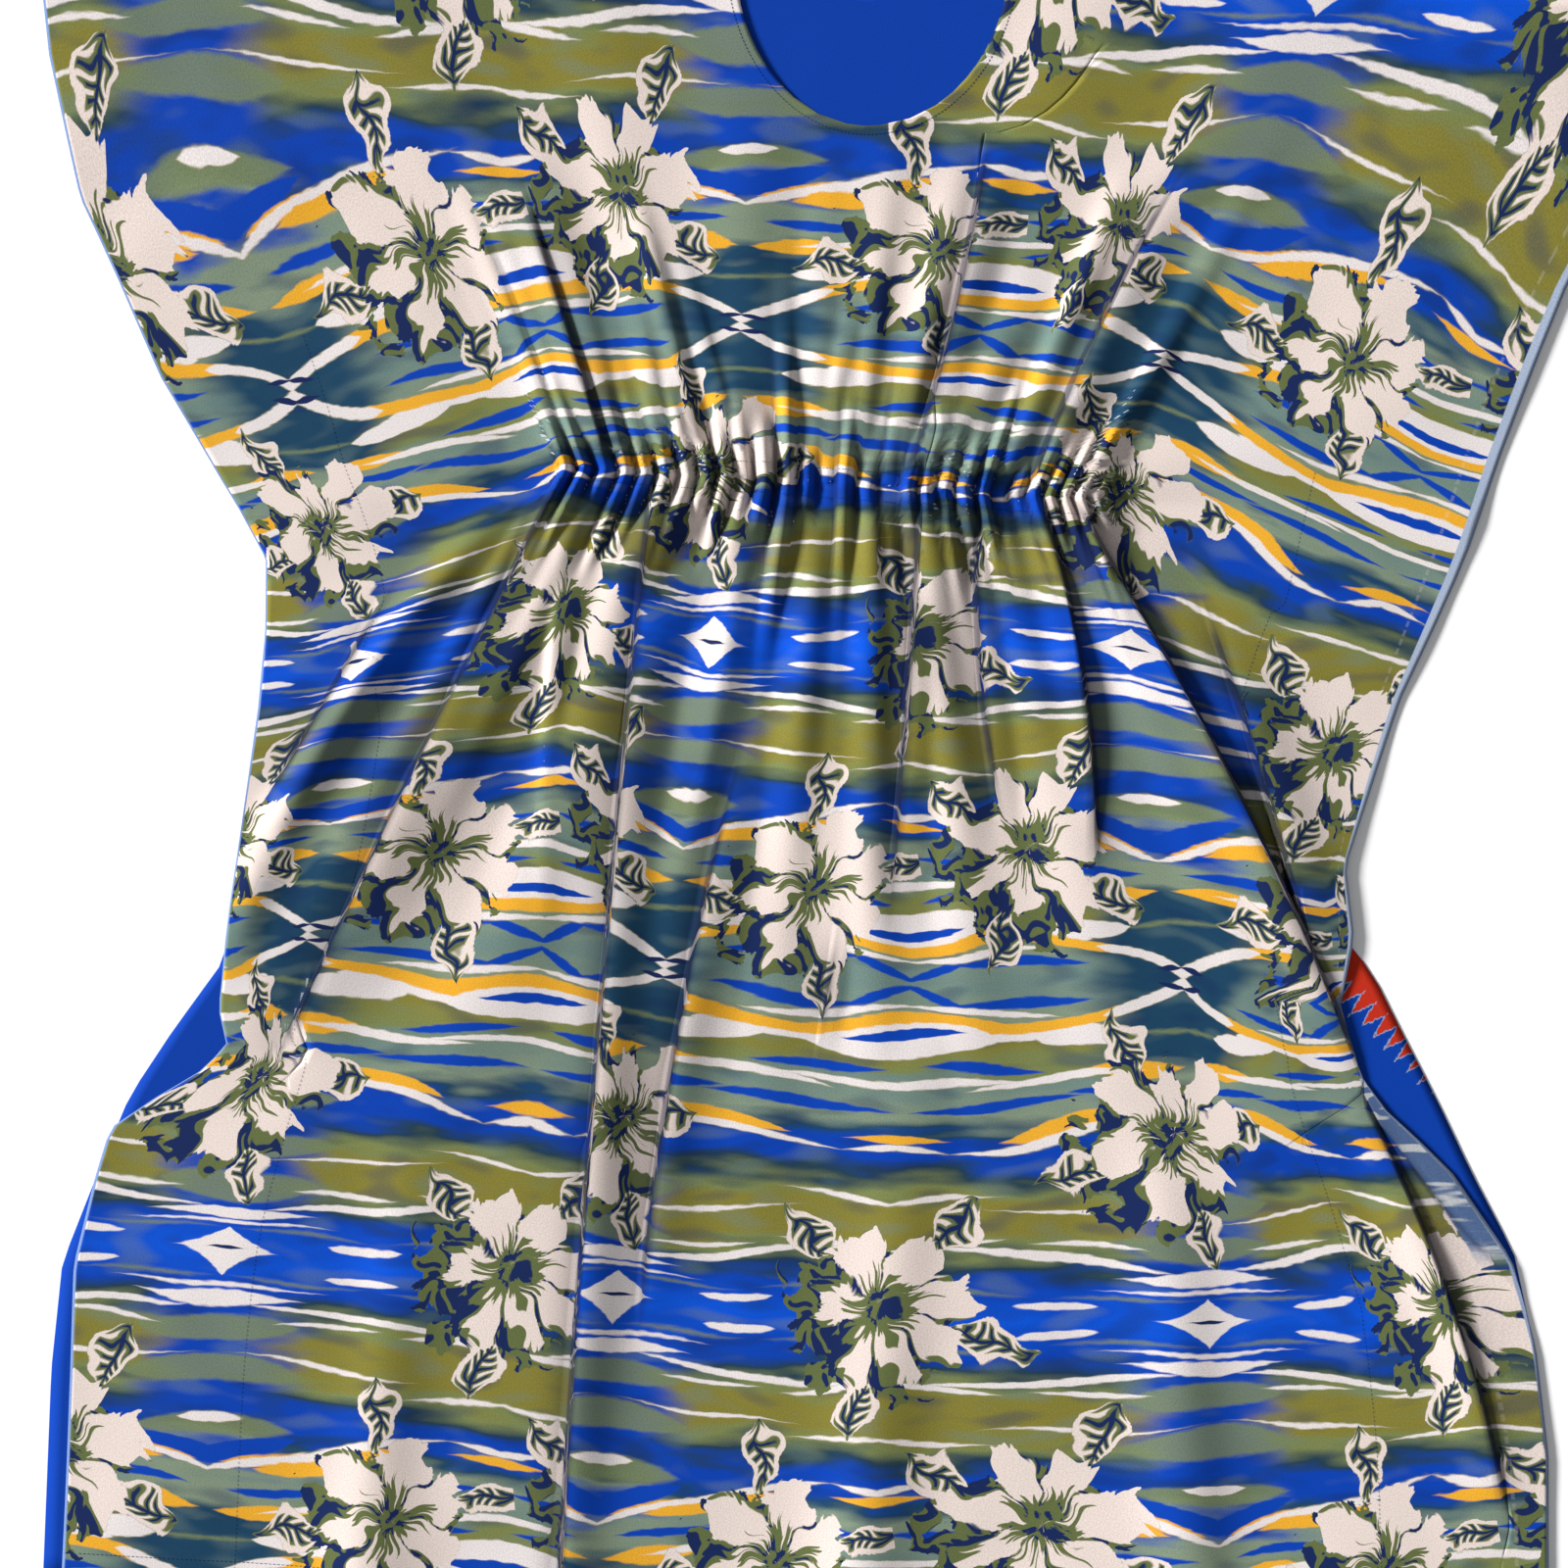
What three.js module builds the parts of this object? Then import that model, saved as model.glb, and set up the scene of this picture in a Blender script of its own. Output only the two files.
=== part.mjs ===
import * as THREE from 'three';

// Muumuu dress laid flat, face up. Millimetres, +X to the wearer's left, +Y to the shoulders, +Z up.
// The tables count x and y from the middle of the waist. ORIGIN moves them to the bounding box.

// Driving sizes
const SHOULDER_Y = 420;      // shoulder line above the waist
const HEM_Y = -940;          // hem below the waist
const ORIGIN = [14, 260];    // from the waist's middle to the bounding box's middle
const WALL = 1.2;            // cloth, also the elastic
const GAP = 0.3;             // between pieces
const MAX_WALL_Z = 4.0;      // wall measured straight up where the cloth is steep
const NECK_X = -14;
const NECK_HALF = 112;
const FRONT_NECK_DEPTH = 140;
const BACK_NECK_DEPTH = 34;
const BACK_INSET = 8;        // how far the back's edge stays under the front's
const ELASTIC = { left: -246, right: 198, low: -26, high: 0 };
const FRONT_LEVEL = WALL + GAP;

// Free edges of the front, and of the back where it shows, one row per height
const FRONT_EDGE = [
  { y: 420, left: -700, right: 672 }, { y: 300, left: -680, right: 622 },
  { y: 185, left: -648, right: 567 }, { y: 120, left: -613, right: 545 },
  { y: 43, left: -574, right: 521 }, { y: -35, left: -522, right: 499 },
  { y: -61, left: -504, right: 490 }, { y: -100, left: -480, right: 475 },
  { y: -160, left: -477, right: 451 }, { y: -222, left: -479, right: 434 },
  { y: -300, left: -486, right: 413 }, { y: -357, left: -490, right: 423 },
  { y: -413, left: -494, right: 416 }, { y: -469, left: -497, right: 435 },
  { y: -497, left: -489, right: 458 }, { y: -518, left: -506, right: 484 },
  { y: -545, left: -546, right: 515 }, { y: -571, left: -580, right: 535 },
  { y: -612, left: -590, right: 567 }, { y: -683, left: -603, right: 591 },
  { y: -770, left: -601, right: 606 }, { y: -940, left: -598, right: 616 },
];
const BACK_SHOWS = [
  { y: -357, left: -482, right: 415 }, { y: -386, left: -486, right: 441 },
  { y: -433, left: -498, right: 468 }, { y: -489, left: -534, right: 501 },
  { y: -544, left: -566, right: 531 }, { y: -607, left: -588, right: 569 },
  { y: -683, left: -613, right: 590 }, { y: -770, left: -617, right: 600 },
  { y: -940, left: -614, right: 609 },
];

// Largest folds, one row each: where the crest line starts, bends and ends, its height at the three
// places, and how far the cloth runs out to each side. A run of EDGE is the folded-over edge.
const EDGE = 4;
const FOLDS = [
  { name: 'skirt_left', y: [-46, -266, -490], x: [-252, -347, -437], high: [5, 11, 3], left: EDGE, right: 58 },
  { name: 'wing_ridge_left', y: [-60, -230, -420], x: [-300, -414, -488], high: [3, 9, 2], left: 26, right: 24 },
  { name: 'wing_step_left', y: [-130, -200, -290], x: [-380, -415, -462], high: [1, 5, 1], left: EDGE, right: 20 },
  { name: 'skirt_pleat_1', y: [-60, -245, -400], x: [-238, -242, -240], high: [3, 5, 1], left: 9, right: 24 },
  { name: 'long_pleat', y: [-50, -340, -940], x: [-168, -180, -190], high: [6, 10, 7], left: EDGE, right: 42 },
  { name: 'skirt_pleat_2', y: [-70, -200, -350], x: [-93, -107, -130], high: [3, 5, 1], left: 12, right: 16 },
  { name: 'low_pleat', y: [-250, -420, -690], x: [-86, -114, -137], high: [1, 6, 2], left: EDGE, right: 34 },
  { name: 'small_tuck', y: [-385, -420, -460], x: [4, 1, -3], high: [1, 3, 1], left: EDGE, right: 16 },
  { name: 'skirt_pleat_3', y: [-40, -190, -350], x: [52, 51, 47], high: [5, 7, 1], left: EDGE, right: 34 },
  { name: 'skirt_pleat_4', y: [-50, -170, -260], x: [100, 111, 129], high: [4, 6, 1], left: EDGE, right: 28 },
  { name: 'skirt_pleat_5', y: [-30, -160, -300], x: [151, 188, 207], high: [6, 9, 2], left: 38, right: EDGE },
  { name: 'skirt_right', y: [-34, -220, -450], x: [184, 304, 424], high: [5, 12, 3], left: 56, right: EDGE },
  { name: 'wing_fold_right', y: [-110, -240, -385], x: [296, 345, 396], high: [2, 10, 2], left: EDGE, right: 44 },
  { name: 'side_fold_right', y: [-480, -600, -800], x: [430, 494, 566], high: [2, 6, 2], left: 34, right: EDGE },
  { name: 'turned_edge_right', y: [-488, -552, -615], x: [443, 493, 553], high: [1, 3, 1], left: EDGE, right: 30 },
  { name: 'hem_swell_left', y: [-560, -760, -940], x: [-330, -345, -352], high: [1, 5, 6], left: 40, right: 46 },
  { name: 'hem_swell_middle', y: [-470, -720, -940], x: [70, 60, 52], high: [1, 5, 7], left: 48, right: 48 },
  { name: 'hem_swell_right', y: [-480, -720, -940], x: [262, 300, 330], high: [1, 5, 6], left: 46, right: 42 },
  { name: 'yoke_fold_1', y: [12, 90, 200], x: [-244, -280, -334], high: [6, 5, 1], left: 20, right: 8 },
  { name: 'yoke_fold_2', y: [12, 95, 200], x: [-214, -245, -286], high: [7, 7, 1], left: 34, right: EDGE },
  { name: 'yoke_fold_3', y: [14, 70, 150], x: [-173, -176, -186], high: [5, 4, 1], left: 16, right: 12 },
  { name: 'yoke_fold_4', y: [14, 100, 210], x: [-135, -160, -196], high: [6, 7, 2], left: 22, right: 12 },
  { name: 'yoke_fold_5', y: [12, 70, 150], x: [-100, -122, -150], high: [5, 4, 1], left: 20, right: 10 },
  { name: 'yoke_fold_6', y: [12, 60, 130], x: [-33, -28, -10], high: [5, 4, 1], left: 18, right: 18 },
  { name: 'yoke_fold_7', y: [12, 110, 250], x: [46, 67, 88], high: [7, 9, 3], left: EDGE, right: 36 },
  { name: 'yoke_fold_8', y: [12, 110, 235], x: [120, 153, 193], high: [6, 6, 1], left: 14, right: 22 },
  { name: 'yoke_fold_9', y: [12, 120, 240], x: [146, 186, 240], high: [7, 8, 2], left: EDGE, right: 36 },
];

// Valleys between the gathers where the elastic holds them
const GATHER_VALLEYS = [
  -246, -231, -216, -197, -182, -166, -148, -132, -117, -102, -86, -68, -50, -35, -20, -4,
  14, 32, 46, 60, 76, 92, 106, 120, 134, 148, 160, 172, 185, 198,
];
const GATHER_HEIGHT = 8;
const GATHER_REACH = 44;     // how far up and down the gathers run before they fade
const GATHER_SPREAD = 0.0022; // how fast they fan out, per millimetre

const FRONT_ROWS = [
  -940, -880, -820, -770, -726, -683, -648, -612, -590, -571, -545, -518, -497, -483, -469, -440,
  -413, -385, -357, -328, -300, -268, -238, -208, -180, -155, -130, -108, -88, -70, -54, -40,
  -27, -13, 1, 13, 26, 42, 60, 82, 108, 138, 172, 210, 248,
];
const NECK_ROWS = [0, 0.02, 0.09, 0.22, 0.44, 0.7, 1];   // share of the neck's depth, from its foot up

// A value read off a table between its rows
function along(table, y, key) {
  for (let i = 1; i < table.length; i += 1) {
    const a = table[i - 1];
    const b = table[i];
    if (y >= b.y) return b[key] + (a[key] - b[key]) * Math.min(1, (y - b.y) / (a.y - b.y));
  }
  return table[table.length - 1][key];
}

// A parabola through three values, u running 0 to 1 from the first to the last
function bend(values, places, y) {
  const [a, b, c] = places;
  const la = ((y - b) * (y - c)) / ((a - b) * (a - c));
  const lb = ((y - a) * (y - c)) / ((b - a) * (b - c));
  const lc = ((y - a) * (y - b)) / ((c - a) * (c - b));
  return values[0] * la + values[1] * lb + values[2] * lc;
}

// A fold at one height: its crest and how high it stands there, easing in and out at its ends
function foldAt(fold, y) {
  const top = Math.max(fold.y[0], fold.y[2]);
  const low = Math.min(fold.y[0], fold.y[2]);
  const ease = 26;
  if (y > top + ease || y < low - ease) return null;
  const held = Math.min(top, Math.max(low, y));
  const over = Math.abs(y - held) / ease;
  const high = Math.max(0, bend(fold.high, fold.y, held)) * (1 - over);
  return { x: bend(fold.x, fold.y, y), high, left: fold.left, right: fold.right };
}

// Gathers fade and fan out away from the elastic
function gatherFade(y) {
  const middle = (ELASTIC.low + ELASTIC.high) / 2;
  const away = Math.max(0, Math.abs(y - middle) - 10);
  return Math.exp(-((away / GATHER_REACH) ** 2));
}

function gatherLine(x, y) {
  const middle = (ELASTIC.left + ELASTIC.right) / 2;
  const away = Math.abs(y - (ELASTIC.low + ELASTIC.high) / 2);
  return middle + (x - middle) * (1 + GATHER_SPREAD * away);
}

function gatherHeight(x, y) {
  const fade = gatherFade(y);
  if (fade < 0.06) return 0;
  const lines = GATHER_VALLEYS.map((v) => gatherLine(v, y));
  if (x <= lines[0] || x >= lines[lines.length - 1]) return 0;
  let i = 1;
  while (lines[i] < x) i += 1;
  const u = (x - lines[i - 1]) / (lines[i] - lines[i - 1]);
  const wide = GATHER_VALLEYS[i] - GATHER_VALLEYS[i - 1];
  return GATHER_HEIGHT * fade * Math.sin(Math.PI * u) ** 2 * (wide / 15) ** 0.5;
}

// Height of the front's underside over its resting level: gathers and folds, the higher one ruling
function rise(x, y) {
  let sum = gatherHeight(x, y) ** 3;
  for (const fold of FOLDS) {
    const f = foldAt(fold, y);
    if (f === null) continue;
    const d = x - f.x;
    const run = d < 0 ? f.left : f.right;
    const u = Math.abs(d) / run;
    if (u >= 1.9) continue;
    const shape = run > EDGE ? Math.exp(-1.9 * u * u) : Math.max(0, 1 - u);
    sum += (f.high * shape) ** 3;
  }
  return Math.cbrt(sum);
}

// The front lies over the elastic and comes down to the back on either side of it
function restLevel(x, y) {
  const outX = Math.max(ELASTIC.left - x, x - ELASTIC.right, 0);
  const outY = Math.max(ELASTIC.low - y, y - ELASTIC.high, 0);
  const out = Math.hypot(outX, outY);
  return FRONT_LEVEL + (WALL + GAP) * Math.max(0, Math.min(1, (30 - out) / 20));
}

function frontUnder(x, y) {
  return restLevel(x, y) + rise(x, y);
}

// Wall measured straight up, thicker where the cloth is steep, so that it is WALL thick across
function frontWall(x, y) {
  const h = 2.5;
  const here = frontUnder(x, y);
  const sx = Math.max(Math.abs(frontUnder(x + h, y) - here), Math.abs(frontUnder(x - h, y) - here)) / h;
  const sy = (frontUnder(x, y + h) - frontUnder(x, y - h)) / (2 * h);
  return Math.min(MAX_WALL_Z, WALL * Math.sqrt(1 + sx * sx + sy * sy));
}

// Places along one row that carry its shape, ends included. A tag says which line a place is on,
// so that it can be joined to the same line in the next row.
function rowPlaces(y, from, to, step) {
  const wanted = [];
  if (gatherFade(y) > 0.12) {
    const lines = GATHER_VALLEYS.map((v) => gatherLine(v, y));
    lines.forEach((v, i) => {
      wanted.push({ x: v, rank: 2, tag: `valley_${i}` });
      if (i > 0) wanted.push({ x: (v + lines[i - 1]) / 2, rank: 2, tag: `gather_${i}` });
    });
  }
  for (const fold of FOLDS) {
    const f = foldAt(fold, y);
    if (f === null) continue;
    const nearLeft = f.left > EDGE ? f.left * 0.55 : EDGE;
    const nearRight = f.right > EDGE ? f.right * 0.55 : EDGE;
    wanted.push({ x: f.x, rank: 4, tag: `${fold.name}_crest` });
    wanted.push({ x: f.x - nearLeft, rank: 3, tag: `${fold.name}_left` });
    wanted.push({ x: f.x + nearRight, rank: 3, tag: `${fold.name}_right` });
    if (f.left > 16) wanted.push({ x: f.x - f.left * 1.2, rank: 1, tag: `${fold.name}_far_left` });
    if (f.right > 16) wanted.push({ x: f.x + f.right * 1.2, rank: 1, tag: `${fold.name}_far_right` });
  }
  wanted.sort((a, b) => b.rank - a.rank);
  const kept = [{ x: from, tag: 'from' }, { x: to, tag: 'to' }];
  for (const w of wanted) {
    const clear = w.rank > 2 ? 3.2 : 5;
    if (w.x < from + 4 || w.x > to - 4) continue;
    if (kept.every((k) => Math.abs(k.x - w.x) >= clear)) kept.push(w);
  }
  kept.sort((a, b) => a.x - b.x);
  const filled = [kept[0]];
  for (let i = 1; i < kept.length; i += 1) {
    const wide = kept[i].x - kept[i - 1].x;
    const count = Math.max(1, Math.ceil(wide / step));
    for (let j = 1; j < count; j += 1) filled.push({ x: kept[i - 1].x + (wide * j) / count, tag: '' });
    filled.push(kept[i]);
  }
  return filled;
}

// A cloth wall over a plan: points carry x, y, underside and top; triangles face up
class Wall {
  constructor() {
    this.points = [];
    this.faces = [];
  }

  add(x, y, under, wall) {
    this.points.push([x, y, under, under + wall]);
    return this.points.length - 1;
  }

  // Joins a lower row to the row above it, first line to line where both rows have the same tags
  join(low, high) {
    const pairs = [[0, 0]];
    for (let i = 1; i < low.length - 1; i += 1) {
      const [lastLow, lastHigh] = pairs[pairs.length - 1];
      const j = low[i].tag === '' ? -1 : high.findIndex((h) => h.tag === low[i].tag);
      if (i > lastLow && j > lastHigh && j < high.length - 1) pairs.push([i, j]);
    }
    pairs.push([low.length - 1, high.length - 1]);
    for (let k = 1; k < pairs.length; k += 1) {
      const [i0, j0] = pairs[k - 1];
      const [i1, j1] = pairs[k];
      this.fill(low.slice(i0, i1 + 1), high.slice(j0, j1 + 1));
    }
  }

  // Fills between two short rows, taking the shorter crossing each time
  fill(low, high) {
    let i = 0;
    let j = 0;
    const far = (a, b) => {
      const p = this.points[a.id];
      const q = this.points[b.id];
      return Math.hypot(p[0] - q[0], p[1] - q[1], 3 * (p[2] - q[2]));
    };
    while (i < low.length - 1 || j < high.length - 1) {
      const canLow = i < low.length - 1;
      const canHigh = j < high.length - 1;
      const takeLow = canLow && (!canHigh || far(low[i + 1], high[j]) < far(low[i], high[j + 1]));
      if (takeLow) {
        this.faces.push([low[i].id, low[i + 1].id, high[j].id]);
        i += 1;
      } else {
        this.faces.push([low[i].id, high[j + 1].id, high[j].id]);
        j += 1;
      }
    }
  }

  // Top, underside and the rim between them as one closed skin
  geometry() {
    const position = [];
    for (const p of this.points) position.push(p[0] + ORIGIN[0], p[1] + ORIGIN[1], p[3]);
    for (const p of this.points) position.push(p[0] + ORIGIN[0], p[1] + ORIGIN[1], p[2]);
    const n = this.points.length;
    const index = [];
    const used = new Map();
    for (const [a, b, c] of this.faces) {
      index.push(a, b, c, a + n, c + n, b + n);
      for (const [p, q] of [[a, b], [b, c], [c, a]]) used.set(`${p}_${q}`, [p, q]);
    }
    for (const [p, q] of used.values()) {
      if (used.has(`${q}_${p}`)) continue;
      index.push(p, q + n, q, p, p + n, q + n);
    }
    const geometry = new THREE.BufferGeometry();
    geometry.setAttribute('position', new THREE.Float32BufferAttribute(position, 3));
    geometry.setIndex(index);
    geometry.computeVertexNormals();
    return geometry;
  }
}

// Half width of a scooped neck at a share of its depth, from its foot up
function neckHalf(share) {
  return NECK_HALF * Math.sqrt(Math.max(0, 1 - (1 - share) ** 2));
}

// Fills a wall row by row, then goes up each side of the neck
function buildPanel(rows, neckDepth, edges, place, row) {
  const wall = new Wall();
  const lay = (y, spots) => spots.map((s) => ({ id: place(wall, s.x, y), tag: s.tag }));
  let below = null;
  for (const y of rows) {
    const ids = lay(y, row(y, edges(y, 'left'), edges(y, 'right')));
    if (below !== null) wall.join(below, ids);
    below = ids;
  }
  const foot = SHOULDER_Y - neckDepth;
  const left = row(foot, edges(foot, 'left'), NECK_X);
  const right = row(foot, NECK_X, edges(foot, 'right'));
  const ids = lay(foot, left.concat(right.slice(1)));
  wall.join(below, ids);
  let leftIds = ids.slice(0, left.length);
  let rightIds = ids.slice(left.length - 1);
  for (const share of NECK_ROWS.slice(1)) {
    const y = foot + neckDepth * share;
    const half = neckHalf(share);
    const l = lay(y, row(y, edges(y, 'left'), NECK_X - half));
    const r = lay(y, row(y, NECK_X + half, edges(y, 'right')));
    wall.join(leftIds, l);
    wall.join(rightIds, r);
    leftIds = l;
    rightIds = r;
  }
  return wall.geometry();
}

function backEdge(y, side) {
  const sign = side === 'left' ? 1 : -1;
  const inset = BACK_INSET * Math.min(1, (SHOULDER_Y - y) / 40);
  if (y >= BACK_SHOWS[0].y) return along(FRONT_EDGE, y, side) + sign * inset;
  return along(BACK_SHOWS, y, side);
}

const group = new THREE.Group();
group.name = 'muumuu_dress';

function addPiece(name, geometry, colour, roughness) {
  const material = new THREE.MeshStandardMaterial({ color: colour, roughness, metalness: 0 });
  const mesh = new THREE.Mesh(geometry, material);
  mesh.name = name;
  group.add(mesh);
}

// Front panel
const frontGeometry = buildPanel(
  FRONT_ROWS,
  FRONT_NECK_DEPTH,
  (y, side) => along(FRONT_EDGE, y, side),
  (wall, x, y) => wall.add(x, y, frontUnder(x, y), frontWall(x, y)),
  (y, from, to) => rowPlaces(y, from, to, 52),
);
addPiece('front_panel', frontGeometry, 0x3f5f8a, 0.85);

// Back panel, flat on what it lies on
const BACK_ROWS = [
  -940, -770, -683, -607, -544, -489, -433, -386, -357, -300, -222, -160, -100, -61, -35, 43, 120,
  185, 300,
];
const backGeometry = buildPanel(
  BACK_ROWS,
  BACK_NECK_DEPTH,
  backEdge,
  (wall, x, y) => wall.add(x, y, 0, WALL),
  (y, from, to) => [0, 1 / 3, 2 / 3, 1].map((u) => ({ x: from + (to - from) * u, tag: '' })),
);
addPiece('back_panel', backGeometry, 0x0b3fc4, 0.85);

// Waist elastic, flat between the two panels
const elasticWide = ELASTIC.right - ELASTIC.left;
const elasticHigh = ELASTIC.high - ELASTIC.low;
const elasticGeometry = new THREE.BoxGeometry(elasticWide, elasticHigh, WALL);
elasticGeometry.translate(
  (ELASTIC.left + ELASTIC.right) / 2 + ORIGIN[0],
  (ELASTIC.low + ELASTIC.high) / 2 + ORIGIN[1],
  FRONT_LEVEL + WALL / 2,
);
addPiece('waist_elastic', elasticGeometry, 0xf1efe8, 0.8);

export default group;
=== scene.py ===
# %% [markdown]
# # A muumuu laid flat
# The dress is two lengths of cloth, one printed front and one blue back, sewn at the shoulders and
# down both sides, with a strip of elastic stitched across the front's waist. It lies face up on a
# pale floor and the camera looks straight down on it. Every millimetre table below counts y from
# the elastic's upper edge towards the shoulders and x to the right, as the solids' own tables do.

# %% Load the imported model
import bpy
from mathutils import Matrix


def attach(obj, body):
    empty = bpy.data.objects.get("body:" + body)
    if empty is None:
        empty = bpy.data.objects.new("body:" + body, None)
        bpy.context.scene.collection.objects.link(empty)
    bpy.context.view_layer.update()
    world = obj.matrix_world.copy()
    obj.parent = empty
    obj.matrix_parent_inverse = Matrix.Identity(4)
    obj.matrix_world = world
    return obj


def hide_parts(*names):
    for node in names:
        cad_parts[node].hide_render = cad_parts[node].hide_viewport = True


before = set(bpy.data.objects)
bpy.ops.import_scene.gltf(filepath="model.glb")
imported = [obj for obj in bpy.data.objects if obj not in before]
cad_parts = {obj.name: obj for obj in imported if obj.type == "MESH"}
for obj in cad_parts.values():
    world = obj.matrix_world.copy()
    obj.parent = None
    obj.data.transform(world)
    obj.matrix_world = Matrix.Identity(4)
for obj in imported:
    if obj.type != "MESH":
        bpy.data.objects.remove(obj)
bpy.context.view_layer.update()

import math

import bpy
import numpy as np

print("solids:", sorted(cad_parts))

# %% [markdown]
# ## Sizes of the cut and of the way it lies
# A cloth this wide is used from selvedge to selvedge, so the wings need no side hem. The edges of
# the front and back are read at a few heights, because the waist and the wings pull them in and
# out. The back follows the front a little inside it, except where it shows.

# %% Sizes
SHOULDER, HEM = 420.0, -940.0
SHIFT_X, SHIFT_Y = 14.0, 260.0  # added to a place in the tables, gives the solids' own frame
NECK_X, NECK_HALF, FRONT_NECK, BACK_NECK = -14.0, 112.0, 140.0, 34.0
ELASTIC = {"left": -246.0, "right": 198.0, "low": -26.0, "high": 0.0}
WAIST_X = (ELASTIC["left"] + ELASTIC["right"]) / 2
WAIST_Y = (ELASTIC["low"] + ELASTIC["high"]) / 2
REST, ELASTIC_LIFT = 1.5, 1.5  # the front above the floor, and how much more over the elastic
CLOTH = 0.6  # thickness of both cloths
MM = 1000.0  # millimetres in a metre

FRONT_EDGE = {
    "y": [420, 300, 185, 120, 43, -35, -61, -100, -160, -222, -300, -357, -413, -469, -497, -518,
          -545, -571, -612, -683, -770, -940],
    "left": [-700, -680, -648, -613, -574, -522, -504, -480, -477, -479, -486, -490, -494, -497,
             -489, -506, -546, -580, -590, -603, -601, -598],
    "right": [672, 622, 567, 545, 521, 499, 490, 475, 451, 434, 413, 423, 416, 435, 458, 484,
              515, 535, 567, 591, 606, 616],
}
BACK_EDGE = {
    "y": [420, 380, 300, 185, 120, 43, -35, -61, -100, -160, -222, -300, -357, -386, -433, -489,
          -544, -607, -683, -770, -940],
    "left": [-700, -685, -672, -640, -605, -566, -514, -496, -472, -469, -471, -478, -482, -486,
             -498, -534, -566, -588, -613, -617, -614],
    "right": [672, 647, 614, 559, 537, 513, 491, 482, 467, 443, 426, 405, 415, 441, 468, 501,
              531, 569, 590, 600, 609],
}


def read(table, key, y):
    """table[key] at height y, on straight lines between the table's heights."""
    rows = np.array(table["y"], float)[::-1]
    return np.interp(y, rows, np.array(table[key], float)[::-1])


widths = [r - l for l, r in zip(FRONT_EDGE["left"], FRONT_EDGE["right"])]
print("front's widest and narrowest:", max(widths), min(widths), "mm")
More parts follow.
